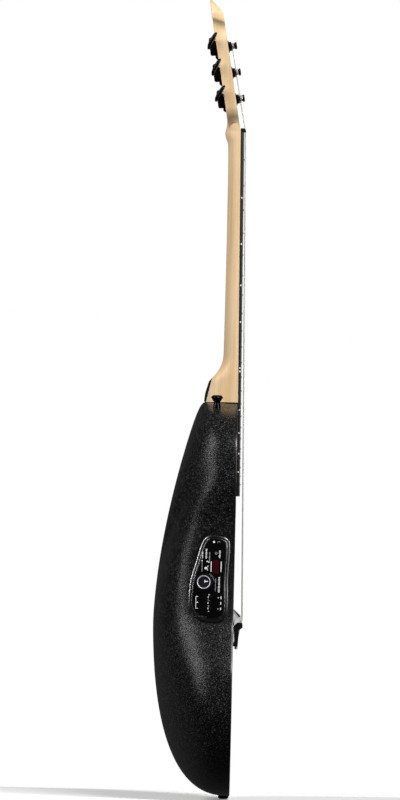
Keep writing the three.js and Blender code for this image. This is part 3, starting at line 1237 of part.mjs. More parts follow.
// End pin jack: a hollow barrel through the tail, and the cap screwed on its end
piece('end_pin_jack', turned([
  [JACK_BORE_RADIUS, CAP_FLOOR + SEAT], [JACK_NECK_RADIUS, CAP_FLOOR + SEAT],
  [JACK_NECK_RADIUS, END_PIN_HEIGHT + SEAT], [JACK_RADIUS, END_PIN_HEIGHT + SEAT],
  [JACK_RADIUS, JACK_END_Z], [JACK_BORE_RADIUS, JACK_END_Z],
], 'z', 0, END_PIN_Y, TURNED_SIDES), MATERIALS.steel);
piece('end_pin_cap', turned([
  [JACK_BORE_RADIUS, 0], [END_PIN_TIP_RADIUS, 0], [END_PIN_RADIUS - END_PIN_ROUND, END_PIN_ROUND / 2],
  [END_PIN_RADIUS, END_PIN_ROUND * 2], [END_PIN_RADIUS, END_PIN_HEIGHT],
  [JACK_NECK_RADIUS + CLEAR, END_PIN_HEIGHT], [JACK_NECK_RADIUS + CLEAR, CAP_FLOOR],
  [JACK_BORE_RADIUS, CAP_FLOOR],
], 'z', 0, END_PIN_Y, TURNED_SIDES), MATERIALS.gloss);

// Preamp surround: a lip outside that follows the wall, a collar through it, and a socket block inside

const wall = moved(aroundBowl, toPanel);
const windowHole = prism(windowOutline, 'x', -OVERRUN, COLLAR_DEPTH + OVERRUN);
const windowBottom = Math.min(...windowOutline.map(([, z]) => z));
const podAxisZ = windowBottom + POD_AXIS_ABOVE_EDGE;
const podAxisX = -FRAME_LIP + POD_PLATE / 2;
const socketBlock = box(
  [COLLAR_DEPTH - SOCKET_BLOCK_ROOT, COLLAR_DEPTH + SOCKET_BLOCK_DEPTH],
  [SOCKET_Y - SOCKET_BLOCK_HALF_WIDTH, SOCKET_Y + SOCKET_BLOCK_HALF_WIDTH],
  [SOCKET_Z - SOCKET_BLOCK_HEIGHT / 2, SOCKET_Z + SOCKET_BLOCK_HEIGHT / 2],
);
const frame = prism(panelOutline, 'x', -FRAME_LIP, FRAME_SKIRT).subtract(wall)
  .add(prism(collarOutline, 'x', -FRAME_LIP, COLLAR_DEPTH))
  .subtract(windowHole)
  .add(socketBlock)
  .subtract(rod(
    POD_PIN_RADIUS + CLEAR, 'y', podAxisX, podAxisZ,
    -POD_PIN_HALF_LENGTH - CLEAR, POD_PIN_HALF_LENGTH + CLEAR, SHAFT_SIDES,
  ));
piece('preamp_frame', frame, MATERIALS.gloss, panel);

// Preamp pod, hinged on pins along its lower edge, with the battery in its back

const podFrontX = -FRAME_LIP;
const batteryRoom = {
  x: [POD_BOX_DEPTH - BATTERY_THICKNESS, POD_BOX_DEPTH],
  y: [POD_BOX_FRONT + POD_WALL, POD_BOX_FRONT + POD_WALL + BATTERY_WIDTH],
  z: [podAxisZ + BATTERY_BOTTOM, podAxisZ + BATTERY_BOTTOM + BATTERY_LENGTH],
};
const grown = ([from, to], by) => [from - by, to + by];
const podBox = box(
  [podFrontX + POD_PLATE / 2, POD_BOX_DEPTH],
  [POD_BOX_FRONT, POD_BOX_BACK],
  [podAxisZ + POD_BOX_BOTTOM, podAxisZ + POD_BOX_TOP],
);
const acrossPlate = [-PANEL_HALF_WIDTH, PANEL_HALF_WIDTH];
const plateEdge = box(
  [-OVERRUN, OVERRUN],
  acrossPlate,
  [-PANEL_HALF_HEIGHT, podAxisZ - POD_EDGE_BELOW_AXIS],
);
const swingRelief = box([-OVERRUN, OVERRUN], acrossPlate, [-PANEL_HALF_HEIGHT, podAxisZ + POD_RELIEF_RISE])
  .subtract(prism(inset(panelOutline, FRAME_BAND + POD_RELIEF), 'x', -OVERRUN * 2, OVERRUN * 2));
const displayRecess = box(
  [podFrontX - OVERRUN, podFrontX + DISPLAY_THICKNESS + SEAT],
  grown([DISPLAY_Y - DISPLAY_HALF_WIDTH, DISPLAY_Y + DISPLAY_HALF_WIDTH], CLEAR),
  grown([DISPLAY_Z - DISPLAY_HALF_HEIGHT, DISPLAY_Z + DISPLAY_HALF_HEIGHT], CLEAR),
);
let pod = prism(plateOutline, 'x', podFrontX, podFrontX + POD_PLATE)
  .subtract(plateEdge)
  .subtract(swingRelief)
  .add(podBox)
  .add(rod(
    POD_PIN_RADIUS, 'y', podAxisX, podAxisZ, -POD_PIN_HALF_LENGTH, POD_PIN_HALF_LENGTH, SHAFT_SIDES,
  ))
  .subtract(box(
    [batteryRoom.x[0] - CLEAR, POD_BOX_DEPTH + OVERRUN],
    grown(batteryRoom.y, CLEAR),
    grown(batteryRoom.z, CLEAR),
  ))
  .subtract(displayRecess)
  .subtract(rod(
    CONTROL_SHAFT_RADIUS + SLIP, 'x', KNOB_Y, KNOB_Z,
    podFrontX - OVERRUN, podFrontX + CONTROL_SHAFT_DEPTH + SLIP, SHAFT_SIDES,
  ))
  .subtract(rod(
    SWITCH_RADIUS + SLIP, 'x', SWITCH_Y, SWITCH_Z,
    podFrontX - OVERRUN, podFrontX + PUSH_DEPTH + PUSH_TRAVEL + SLIP, SHAFT_SIDES,
  ))
  .subtract(rod(
    LATCH_RADIUS + SLIP, 'x', LATCH_Y, LATCH_Z,
    podFrontX - OVERRUN, podFrontX + PUSH_DEPTH + PUSH_TRAVEL + SLIP, SHAFT_SIDES,
  ));
const sliderZ = SLIDER_NAMES.map((_, i) => SLIDER_FIRST_Z - SLIDER_PITCH * i);
for (const z of sliderZ) {
  pod = pod.subtract(box(
    [podFrontX - OVERRUN, podFrontX + SLIDER_STEM_DEPTH + SLIP],
    grown([-SLIDER_TRAVEL, SLIDER_TRAVEL], SLIDER_STEM_HALF_LENGTH + SLIP),
    grown([z, z], SLIDER_STEM_HALF_WIDTH + SLIP),
  ));
}
piece('preamp_pod', pod, MATERIALS.plastic, panel);
piece('battery', box(batteryRoom.x, batteryRoom.y, batteryRoom.z), MATERIALS.battery, panel);
piece('display_window', box(
  [podFrontX, podFrontX + DISPLAY_THICKNESS],
  [DISPLAY_Y - DISPLAY_HALF_WIDTH, DISPLAY_Y + DISPLAY_HALF_WIDTH],
  [DISPLAY_Z - DISPLAY_HALF_HEIGHT, DISPLAY_Z + DISPLAY_HALF_HEIGHT],
), MATERIALS.display, panel);

const flutes = (scale) => Array.from({ length: KNOB_FLUTES * 2 }, (_, t) => {
  const angle = (t / (KNOB_FLUTES * 2)) * Math.PI * 2;
  const radius = KNOB_RADIUS * scale * (t % 2 ? KNOB_FLUTE_SHARE : 1);
  return new THREE.Vector3(0, KNOB_Y + radius * Math.cos(angle), KNOB_Z + radius * Math.sin(angle));
});
const knobLevels = [
  [podFrontX - CONTROL_GAP, 1], [podFrontX - CONTROL_GAP - KNOB_HEIGHT * KNOB_TOP_SHARE, KNOB_TOP_SHARE],
];
const knob = loft(knobLevels.map(([x, scale]) => flutes(scale).map((point) => point.setX(x))))
  .add(rod(
    CONTROL_SHAFT_RADIUS, 'x', KNOB_Y, KNOB_Z,
    podFrontX - CONTROL_GAP - KNOB_HEIGHT / 2, podFrontX + CONTROL_SHAFT_DEPTH, SHAFT_SIDES,
  ));
piece('volume_knob', knob, MATERIALS.plastic, panel);

SLIDER_NAMES.forEach((name, i) => {
  const z = sliderZ[i];
  const capTop = podFrontX - CONTROL_GAP - SLIDER_CAP_HEIGHT;
  const cap = prism([
    [-SLIDER_CAP_HALF_LENGTH, podFrontX - CONTROL_GAP], [SLIDER_CAP_HALF_LENGTH, podFrontX - CONTROL_GAP],
    [SLIDER_CAP_HALF_LENGTH * SLIDER_CAP_TOP_SHARE, capTop],
    [-SLIDER_CAP_HALF_LENGTH * SLIDER_CAP_TOP_SHARE, capTop],
  ].map(([y, x]) => [x, y]), 'z', z - SLIDER_CAP_HALF_WIDTH, z + SLIDER_CAP_HALF_WIDTH);
  const stem = box(
    [podFrontX - CONTROL_GAP - SLIDER_CAP_HEIGHT / 2, podFrontX + SLIDER_STEM_DEPTH],
    [-SLIDER_STEM_HALF_LENGTH, SLIDER_STEM_HALF_LENGTH],
    [z - SLIDER_STEM_HALF_WIDTH, z + SLIDER_STEM_HALF_WIDTH],
  );
  piece(name, cap.add(stem), MATERIALS.plastic, panel);
});

function pushButton(radius, y, z) {
  return rod(radius, 'x', y, z, podFrontX - PUSH_HEIGHT, podFrontX + PUSH_DEPTH, SHAFT_SIDES);
}

piece('tuner_switch', pushButton(SWITCH_RADIUS, SWITCH_Y, SWITCH_Z), MATERIALS.white, panel);
piece('pod_latch', pushButton(LATCH_RADIUS, LATCH_Y, LATCH_Z), MATERIALS.plastic, panel);

const part = new THREE.Group();
guitar.position.set(0, -END_PIN_Y, 0);
part.add(guitar);

export default part;
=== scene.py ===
# %% [markdown]
# # A round-back acoustic-electric guitar, seen from its bass side
#
# The guitar's solids come ready made, in metres, with +Z up the neck and the soundboard facing -Y.
# This lesson gives them their looks: it models the shapes that show, one short cell at a time, and
# paints each with a material that is named for what the real thing is made of.

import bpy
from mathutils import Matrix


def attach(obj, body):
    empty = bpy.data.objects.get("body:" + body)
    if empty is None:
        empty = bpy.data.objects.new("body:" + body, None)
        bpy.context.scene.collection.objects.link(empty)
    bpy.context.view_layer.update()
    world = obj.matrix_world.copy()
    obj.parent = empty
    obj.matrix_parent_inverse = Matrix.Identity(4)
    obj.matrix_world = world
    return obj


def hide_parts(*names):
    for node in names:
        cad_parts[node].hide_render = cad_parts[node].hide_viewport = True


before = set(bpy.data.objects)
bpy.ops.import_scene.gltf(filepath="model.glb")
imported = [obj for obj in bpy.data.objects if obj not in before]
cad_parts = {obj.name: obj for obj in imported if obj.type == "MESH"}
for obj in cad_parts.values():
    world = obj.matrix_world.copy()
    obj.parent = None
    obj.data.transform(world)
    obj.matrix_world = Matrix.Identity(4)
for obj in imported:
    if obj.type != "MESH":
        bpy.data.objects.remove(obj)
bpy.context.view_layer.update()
print("solids in the frame:", len(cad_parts))

# %% [markdown]
# Blender's own modules hold the scene and its meshes. Sizes in this lesson are in millimetres, and
# MM turns them to the metres that Blender works in.

# %% Import what Blender needs
import math

import bmesh
import bpy
from mathutils import Matrix, Vector
from mathutils.geometry import interpolate_bezier

scene = bpy.context.scene
MM = 0.001

# %% [markdown]
# ## Camera
#
# A long lens far away flattens the perspective, as a product photographer does. One pixel of the
# picture is 1.31 mm on the guitar, which leans 1.25 degrees toward its front, so the camera rolls
# by that much the other way.

# %% Place the camera
PICTURE_HEIGHT_PIXELS = 800
MM_PER_PIXEL = 1.31
LEAN = math.radians(1.25)
CAMERA_DISTANCE = 20.0
VIEW_CENTRE = Vector((0, 41.8, 521.8)) * MM

right = Vector((0, -math.cos(LEAN), math.sin(LEAN)))
up = Vector((0, math.sin(LEAN), math.cos(LEAN)))
backward = right.cross(up)
camera_data = bpy.data.cameras.new("camera")
camera_data.lens = camera_data.sensor_width * CAMERA_DISTANCE / (PICTURE_HEIGHT_PIXELS * MM_PER_PIXEL * MM)
camera_data.clip_end = CAMERA_DISTANCE * 3
camera = bpy.data.objects.new("camera", camera_data)
turn = Matrix((right, up, backward)).transposed().to_4x4()
camera.matrix_world = Matrix.Translation(VIEW_CENTRE + backward * CAMERA_DISTANCE) @ turn
scene.collection.objects.link(camera)
scene.camera = camera
print("lens in mm:", round(camera_data.lens))

# %% [markdown]
# ## Light
#
# Black shows its shape only by what it mirrors, so four soft boxes stand round the guitar. A tall
# narrow one behind its back edge draws the bowl's ridge and the bezel's lines, and a small high one
# carries the ridge over the shoulder. A tall one at the front edges the far side, and a broad high
# one lifts the pale neck. Narrow boxes leave crisp lines in black gloss, and broad ones an even grey.

# %% Hang the soft boxes
# Each box holds its place, the point it faces, its width and height in metres, and its watts.
LIGHTS = {
    "key": ((-1.14, 2.87, 1.85), (0, 0.05, 0.6), (0.12, 2.3), 66),
    "shoulder": ((-1.12, 1.98, 2.6), (0, 0.05, 0.6), (0.3, 0.8), 16),
    "right": ((-2.16, -2.03, 1.85), (0, 0.05, 0.6), (0.4, 2.3), 68),
    "front": ((-1.73, -0.95, 3.1), (0, 0.05, 0.9), (0.8, 0.8), 54),
}
for name, (place, aim, size, watts) in LIGHTS.items():
    light = bpy.data.lights.new(name, "AREA")
    light.shape = "RECTANGLE"
    light.size, light.size_y = size
    light.energy = watts
    lamp = bpy.data.objects.new(name, light)
    lamp.location = place
    lamp.rotation_euler = (Vector(aim) - Vector(place)).to_track_quat("-Z", "Y").to_euler()
    scene.collection.objects.link(lamp)
print("soft boxes:", len(LIGHTS))

# %% [markdown]
# ## Small tools for materials
#
# Colours are written as the hex values that a paint chart gives, and are turned to the linear light
# that Blender mixes. One function adds a node, with its settings and with its links. The others set
# up the few groups of nodes that nearly every material needs.

# %% Turn hex colours to linear light and add nodes
def linear(hex_value):
    """A hex sRGB colour as linear red, green, blue and an alpha of one."""
    channels = [int(hex_value[i:i + 2], 16) / 255 for i in (1, 3, 5)]
    curve = [c / 12.92 if c <= 0.04045 else ((c + 0.055) / 1.055) ** 2.4 for c in channels]
    return (*curve, 1)


def add(tree, kind, inputs=None, **settings):
    """Add a node. inputs maps a socket's name or number to a value or to another node's output."""
    node = tree.nodes.new(kind)
    for name, value in settings.items():
        setattr(node, name, value)
    for socket, value in (inputs or {}).items():
        if isinstance(value, bpy.types.NodeSocket):
            tree.links.new(value, node.inputs[socket])
        else:
            node.inputs[socket].default_value = value
    return node


def start_material(name, **values):
    """A new material with one shader: its tree, its shader and the object's own coordinates."""
    material = bpy.data.materials.new(name)
    material.use_nodes = True
    tree = material.node_tree
    shader = tree.nodes["Principled BSDF"]
    for socket, value in values.items():
        shader.inputs[socket.replace("_", " ")].default_value = value
    coordinates = add(tree, "ShaderNodeTexCoord").outputs["Object"]
    return material, tree, shader, coordinates


def ramp(tree, factor, stops):
    """A colour ramp through [place, hex colour] stops, driven by factor."""
    node = add(tree, "ShaderNodeValToRGB", {"Fac": factor})
    elements = node.color_ramp.elements
    while len(elements) < len(stops):
        elements.new(0.5)
    for element, (place, colour) in zip(elements, stops):
        element.position = place
        element.color = linear(colour)
    return node.outputs["Color"]


def noise(tree, place, scale, detail):
    """A noise with about scale patches to a metre. Three scales stretch it along x, y and z."""
    if isinstance(scale, tuple):
        place = add(tree, "ShaderNodeMapping", {"Vector": place, "Scale": scale}).outputs[0]
        scale = 1.0
    values = {"Vector": place, "Scale": scale, "Detail": detail}
    return add(tree, "ShaderNodeTexNoise", values).outputs["Fac"]


def wave_scale(spacing):
    """The wave texture's scale for bands that are spacing apart. It draws 20 / tau bands to one."""
    return math.tau / 20 / spacing


def paint(tree, shader, colour):
    """Give the shader its colour."""
    tree.links.new(colour, shader.inputs["Base Color"])


def emboss(tree, shader, height, strength, depth, invert=False):
    """Light the surface as if height raised it by up to depth millimetres."""
    values = {"Height": height, "Strength": strength, "Distance": depth * MM}
    bump = add(tree, "ShaderNodeBump", values, invert=invert)
    tree.links.new(bump.outputs[0], shader.inputs["Normal"])


print("white in linear light:", linear("#FFFFFF"))

# %% [markdown]
# The backdrop is white where the camera sees it. What the guitar mirrors is a dim room, which keeps
# the black parts black, with one white sheet beyond its front side that edges the soundboard. The
# floor is a plain pale sheet. It is neither mirrored nor throws light back, so that the bowl's
# underside stays dark.

# %% Paint the room and lay the floor
ROOM_NEAR = 0.06
ROOM_FAR = 1.0
SHEET_WAY = (0.93, -0.37, 0)
SHEET_EDGE_FROM = 0.93
SHEET_EDGE_TO = 0.98
FLOOR_SIZE = 0.8
FLOOR_GAP = 0.5 * MM
FLOOR_PATCH = 0.25
FLOOR_GLOW = 0.2

world = bpy.data.worlds.new("studio")
world.use_nodes = True
scene.world = world
room = world.node_tree
room.nodes.clear()
facing = add(room, "ShaderNodeTexCoord").outputs["Object"]
toward = add(room, "ShaderNodeVectorMath", {0: facing, 1: SHEET_WAY}, operation="DOT_PRODUCT")
strength = add(
    room, "ShaderNodeMapRange",
    {"Value": toward.outputs["Value"], 1: SHEET_EDGE_FROM, 2: SHEET_EDGE_TO, 3: ROOM_NEAR, 4: ROOM_FAR},
)
lit = add(room, "ShaderNodeBackground", {"Color": linear("#F4F6FA"), "Strength": strength.outputs[0]})
seen = add(room, "ShaderNodeBackground", {"Color": linear("#FFFFFF"), "Strength": 1.0})
camera_ray = add(room, "ShaderNodeLightPath").outputs["Is Camera Ray"]
both = add(room, "ShaderNodeMixShader", {0: camera_ray, 1: lit.outputs[0], 2: seen.outputs[0]})
add(room, "ShaderNodeOutputWorld", {"Surface": both.outputs[0]})
scene.view_settings.view_transform = "Standard"

floor_paint, tree, shader, place = start_material("pale_painted_floor", Roughness=0.9)
patches = noise(tree, place, 1 / FLOOR_PATCH, 2.0)
paint(tree, shader, ramp(tree, patches, [(0.3, "#F6F6F4"), (0.7, "#FBFBFA")]))
# A little light of its own stands in for the white walls that a small sheet lacks.
shader.inputs["Emission Color"].default_value = linear("#FFFFFF")
shader.inputs["Emission Strength"].default_value = FLOOR_GLOW
sheet = bmesh.new()
bmesh.ops.create_grid(sheet, x_segments=1, y_segments=1, size=FLOOR_SIZE / 2)
bmesh.ops.translate(sheet, verts=sheet.verts, vec=(0, 0, -FLOOR_GAP))
floor_mesh = bpy.data.meshes.new("floor")
sheet.to_mesh(floor_mesh)
sheet.free()
floor_mesh.materials.append(floor_paint)
floor = bpy.data.objects.new("floor", floor_mesh)
scene.collection.objects.link(floor)
floor.visible_diffuse = False
floor.visible_glossy = False
print("floor in metres:", FLOOR_SIZE)

# %% [markdown]
# ## Materials
#
# ** Bowl.** The back is one moulding of glass fibre and resin with a pebbled black skin. Each pebble is
# about 1.5 mm across, so the pattern's scale is one over that size. Small cells give the height, and
# a softer noise makes some pebbles a little greyer: painted glints, as light on the pebbles' tops gives.

# %% Moulded composite with a pebbled skin
PEBBLE = 1.5 * MM
PAINTED_GLINT_PATCH = 2.5 * MM
PEBBLE_RELIEF = 0.6

composite, tree, shader, place = start_material(
    "moulded_fibre_composite", Roughness=0.28, Specular_IOR_Level=0.18,
)
pebbles = add(tree, "ShaderNodeTexVoronoi", {"Vector": place, "Scale": 1 / PEBBLE}, feature="SMOOTH_F1")
both = {0: pebbles.outputs["Distance"], 1: noise(tree, place, 1 / PAINTED_GLINT_PATCH, 4.0)}
height = add(tree, "ShaderNodeMath", both, operation="MULTIPLY").outputs[0]
# The greyer pebble tops are painted glints, not the skin's own colour.
paint(tree, shader, ramp(tree, height, [(0.05, "#5C5C5D"), (0.13, "#1B1B1C"), (0.3, "#050506")]))
emboss(tree, shader, height, 1.0, PEBBLE_RELIEF, invert=True)
print("pebbles in mm:", PEBBLE / MM)

# %% [markdown]
# **Neck.** Hard maple under thin satin lacquer. Its grain runs up the neck, so the noise is squeezed
# across the neck and stretched along it: about 1.6 mm across and 70 mm along. A second, slower noise
# gives the broad warm and pale bands of slab-sawn boards.

# %% Satin lacquered maple
GRAIN_WIDTH = 1.6 * MM
GRAIN_LENGTH = 70 * MM
BANDS_PER_METRE = (40, 90, 5)

maple, tree, shader, place = start_material("satin_lacquered_maple", Roughness=0.55, Coat_Weight=0.08)
shader.inputs["Coat Roughness"].default_value = 0.4
fibre = noise(tree, place, (1 / GRAIN_WIDTH / 3, 1 / GRAIN_WIDTH, 1 / GRAIN_LENGTH), 5.0)
fine = ramp(tree, fibre, [(0.3, "#D0A97A"), (0.5, "#E2C092"), (0.75, "#EBCEA5")])
broad = ramp(tree, noise(tree, place, BANDS_PER_METRE, 3.0), [(0.35, "#D8B180"), (0.65, "#EFD6AF")])
wood = add(tree, "ShaderNodeMix", {"Factor": 0.45, 6: fine, 7: broad}, data_type="RGBA")
paint(tree, shader, wood.outputs[2])
emboss(tree, shader, fibre, 0.06, 0.2)
print("maple grain in mm:", GRAIN_WIDTH / MM, "by", GRAIN_LENGTH / MM)

# %% [markdown]
# **Dark woods.** The fingerboard is oiled ebony: nearly black, with thin brown streaks along the
# board and open pores. The bridge, binding, heel cap and nut are black too, but smoother and glossier.

# %% Oiled ebony and black-stained wood
STREAKS_PER_METRE = 12.0


def dark_wood(name, stops, roughness, streak, coat=0.0):
    """A dark close-grained wood whose streaks are streak wide and run up the neck."""
    material, tree, shader, place = start_material(name, Roughness=roughness, Coat_Weight=coat)
    pores = noise(tree, place, (1 / streak, 1 / streak, STREAKS_PER_METRE), 6.0)
    paint(tree, shader, ramp(tree, pores, stops))
    emboss(tree, shader, pores, 0.15, 0.3)
    return material


ebony = dark_wood("oiled_ebony", [(0.35, "#131111"), (0.55, "#201C1A"), (0.8, "#33291F")], 0.42, 1.2 * MM)
black_wood = dark_wood("black_stained_wood", [(0.3, "#0A0909"), (0.7, "#151312")], 0.3, 0.9 * MM)
black_lacquer = dark_wood("black_lacquered_wood", [(0.3, "#070606"), (0.7, "#0F0D0D")], 0.14, 0.9 * MM, 1.0)
print("dark woods:", ebony.name, black_wood.name, black_lacquer.name)

# %% [markdown]
# **Soundboard and the wood inside.** Spruce is sawn on the quarter, so its year rings are straight
# lines up the board, about 1.4 mm apart. A wave texture draws them and a noise bends them slightly.
# The blocks and bars inside are bare wood.

# %% Spruce with and without lacquer, and the block wood
FIBRES_PER_METRE = (900, 900, 22)


def striped_wood(name, late, early, ring_spacing, roughness, coat):
    """A straight-grained wood whose year rings are ring_spacing apart across the board."""
    material, tree, shader, place = start_material(name, Roughness=roughness, Coat_Weight=coat)
    rings = add(tree, "ShaderNodeTexWave", {
        "Vector": place, "Scale": wave_scale(ring_spacing), "Distortion": 1.2, "Detail": 2.0,
        "Detail Scale": 0.02,
    }, bands_direction="X").outputs["Fac"]
    fibres = noise(tree, place, FIBRES_PER_METRE, 4.0)
    grain = add(tree, "ShaderNodeMix", {"Factor": 0.35, 2: rings, 3: fibres}).outputs[0]
    paint(tree, shader, ramp(tree, grain, [(0.25, late), (0.75, early)]))
    emboss(tree, shader, grain, 0.08, 0.2)
    return material


lacquered_spruce = striped_wood("lacquered_spruce", "#C79A5C", "#E2BF87", 1.4 * MM, 0.3, 0.6)
bare_spruce = striped_wood("bare_spruce", "#CBA873", "#E5CDA1", 1.8 * MM, 0.7, 0.0)
block_wood = striped_wood("bare_limewood", "#A67F52", "#BE9767", 3.0 * MM, 0.75, 0.0)
print("straight-grained woods:", lacquered_spruce.name, bare_spruce.name, block_wood.name)

# %% [markdown]
# **Metals and plastics.** Metals differ from plastics in that they mirror in their own colour.
# Each gets a faint noise in its roughness, because no real casting or moulding is evenly smooth.

# %% Metals, plastics and rubber
def plain_finish(name, dark, light, low_rough, high_rough, grain, bump=0.04, **values):
    """A metal or plastic that wavers between two colours and two roughnesses over grain."""
    material, tree, shader, place = start_material(name, **values)
    waver = noise(tree, place, 1 / grain, 3.0)
    paint(tree, shader, ramp(tree, waver, [(0.3, dark), (0.7, light)]))
    rough = add(tree, "ShaderNodeMapRange", {"Value": waver, 3: low_rough, 4: high_rough})
    tree.links.new(rough.outputs[0], shader.inputs["Roughness"])
    emboss(tree, shader, waver, bump, 0.1)
    return material


black_plating = plain_finish("black_plated_zinc", "#101011", "#1C1C1E", 0.18, 0.3, 3 * MM, Metallic=0.85)
nickel = plain_finish("nickel_plated_brass", "#B9B7B2", "#CFCDC8", 0.16, 0.26, 3 * MM, Metallic=1.0)
nickel_silver = plain_finish("drawn_nickel_silver", "#A8A59C", "#C4C1B8", 0.2, 0.32, 2 * MM, Metallic=1.0)
# Half metal and half pale colour: part of this ring's brightness is painted shine, where real chrome would
# mirror the dim room.
chrome_with_painted_shine = plain_finish("chrome_with_painted_shine", "#E2E3E6", "#F4F5F6", 0.35, 0.45, 2 * MM, Metallic=0.5)
rod_steel = plain_finish("bright_drawn_steel", "#77797D", "#8E9094", 0.25, 0.4, 2 * MM, Metallic=1.0)
gloss_abs = plain_finish(
    "gloss_moulded_abs", "#030304", "#060607", 0.22, 0.28, 4 * MM, bump=0.02,
    Specular_IOR_Level=0.9, Coat_Weight=0.8, Coat_Roughness=0.12,
)
satin_abs = plain_finish(
    "satin_moulded_abs", "#020203", "#050506", 0.2, 0.28, 0.5 * MM, bump=0.06, Specular_IOR_Level=0.3,
)
knob_abs = plain_finish("knob_moulded_abs", "#101018", "#1B1B26", 0.2, 0.3, 1 * MM, bump=0.05)
white_urea = plain_finish("moulded_white_urea", "#E6E3DA", "#F3F1EA", 0.25, 0.35, 1.5 * MM)
white_ink = plain_finish("printed_white_ink", "#F0F0EE", "#FFFFFF", 0.45, 0.6, 0.6 * MM)
grey_ink = plain_finish("printed_grey_ink", "#A0A0A2", "#C4C4C6", 0.45, 0.6, 0.6 * MM)
lead_jacket = plain_finish("pvc_cable_jacket", "#0B0B0B", "#141414", 0.45, 0.6, 1 * MM)
battery_tin = plain_finish("printed_battery_tin", "#4A4D52", "#5C6066", 0.25, 0.4, 5 * MM, Metallic=0.6)
print("finishes:", len(bpy.data.materials))

# %% [markdown]
# **Display.** A smoked red lens over dark digits. It glows faintly, in a grid as fine as the lamps
# behind it would be, and the smooth lens on top mirrors the room.

# %% Smoked red lens
LAMP_SPACING = 1.6 * MM

red_lens, tree, shader, place = start_material("smoked_red_acrylic", Roughness=0.12, Coat_Weight=0.5)
lamps = add(tree, "ShaderNodeTexVoronoi", {"Vector": place, "Scale": 1 / LAMP_SPACING, "Randomness": 0.3})
glow = ramp(tree, lamps.outputs["Distance"], [(0.2, "#3A0007"), (0.8, "#1C0003")])
paint(tree, shader, glow)
tree.links.new(glow, shader.inputs["Emission Color"])
shader.inputs["Emission Strength"].default_value = 0.4
print("lamps in mm:", LAMP_SPACING / MM)

# %% [markdown]
# **Strings.** The two thinnest are plain steel. The other four are steel wound with bronze wire. The
# wire is 0.2 to 0.4 mm thick, too fine to show, so the bump draws it at 1 mm.

# %% Plain and wound string
WINDING_PITCH = 1.0 * MM

# Both strings are paler and less metal than bare steel and bronze, so that they stay light where they
# mirror the dim room: partly painted reflection.
plain_string = plain_finish("plain_string_steel", "#B4B6BA", "#D4D6D9", 0.3, 0.4, 1 * MM, Metallic=0.6)
wound_string, tree, shader, place = start_material("phosphor_bronze_winding", Metallic=0.5, Roughness=0.45)
winding_place = {"Vector": place, "Scale": wave_scale(WINDING_PITCH)}
wire = add(tree, "ShaderNodeTexWave", winding_place, bands_direction="Z", wave_profile="SIN").outputs["Fac"]
# The bands darken between the turns of the winding: painted shade in the grooves.
paint(tree, shader, ramp(tree, wire, [(0.1, "#B9B4AB"), (0.7, "#E2E0DB")]))
emboss(tree, shader, wire, 0.4, 0.15)
print("winding pitch in mm:", WINDING_PITCH / MM)

# %% [markdown]
# ## Tools for shapes
#
# Every shape is drawn in millimetres, with the soundboard's face at y zero, as a luthier's drawing
# has it. A matrix then carries the finished shape to its place in metres. The tools are a
# workshop's: a lathe, a press that gives an outline a thickness, a loft that skins a row of rings,
# and a cutter that rounds sharp edges. Each works with Blender's own mesh operators.

# %% Rings, loft and lathe
END_PIN_Y = 7.9
WELD = 0.0005
DRAWING = Matrix.Translation((0, -END_PIN_Y * MM, 0)) @ Matrix.Scale(MM, 4)


def ring(bm, points):
    """A closed ring of edges through points."""
    corners = [bm.verts.new(point) for point in points]
    return [bm.edges.new(pair) for pair in zip(corners, corners[1:] + corners[:1])]


def loft(bm, rings, ends="closed"):
    """Skin a row of equal rings. The two ends are closed, left open, or joined to each other."""
    loops = [ring(bm, points) for points in rings]
    for low, high in zip(loops, loops[1:]):
        bmesh.ops.bridge_loops(bm, edges=low + high)
    if ends == "joined":
        bmesh.ops.bridge_loops(bm, edges=loops[-1] + loops[0])
    if ends == "closed":
        bmesh.ops.edgeloop_fill(bm, edges=loops[0])
        bmesh.ops.edgeloop_fill(bm, edges=loops[-1])
    return loops


def lathe(bm, profile, centre=(0, 0, 0), axis=(0, 0, 1), start=(1, 0, 0), steps=40):
    """Turn a profile of [radius, height] points once round the axis that runs through centre."""
    centre, axis, start = Vector(centre), Vector(axis), Vector(start)
    corners = [bm.verts.new(centre + start * radius + axis * height) for radius, height in profile]
    edges = [bm.edges.new(pair) for pair in zip(corners, corners[1:])]
    bmesh.ops.spin(
        bm, geom=corners + edges, cent=centre, axis=axis, dvec=(0, 0, 0),
        angle=math.tau, steps=steps, use_merge=True,
    )
    bmesh.ops.remove_doubles(bm, verts=bm.verts, dist=WELD)


def rod(radius, low, high):
    """The profile of a plain rod between two heights."""
    return [(0, low), (radius, low), (radius, high), (0, high)]


def hoop(here, there, low, high):
    """The profile of a plain hoop between two radii and two heights."""
    return [(here, low), (here, high), (there, high), (there, low), (here, low)]


print("the drawing's zero is", END_PIN_Y, "mm in front of the end pin's middle")

# %% [markdown]
# The press fills a flat outline and pushes it to a thickness. The other tools make plain boxes,
# round sharp edges and saw off what lies past a plane.

# %% Press, block, soften and slice
def press(bm, points, push, holes=()):
    """Fill an outline, with holes if it has any, and push it to a thickness."""
    edges = ring(bm, points)
    for hole in holes:
        edges += ring(bm, hole)
    if holes:
        filled = bmesh.ops.triangle_fill(bm, use_beauty=True, edges=edges)["geom"]
        faces = [item for item in filled if isinstance(item, bmesh.types.BMFace)]
    else:
        faces = bmesh.ops.edgeloop_fill(bm, edges=edges)["faces"]
    pushed = bmesh.ops.extrude_face_region(bm, geom=faces, use_keep_orig=True)["geom"]
    far = [item for item in pushed if isinstance(item, bmesh.types.BMVert)]
    bmesh.ops.translate(bm, verts=far, vec=push)


def press_across(bm, side, half_width):
    """Press a side view of [y, z] points out to both sides of the middle line."""
    press(bm, [Vector((-half_width, y, z)) for y, z in side], (2 * half_width, 0, 0))


def block(bm, low, high):
    """A box between two corners."""
    low, high = Vector(low), Vector(high)
    made = bmesh.ops.create_cube(bm, size=1)["verts"]
    bmesh.ops.scale(bm, vec=high - low, verts=made)
    bmesh.ops.translate(bm, vec=(low + high) / 2, verts=made)


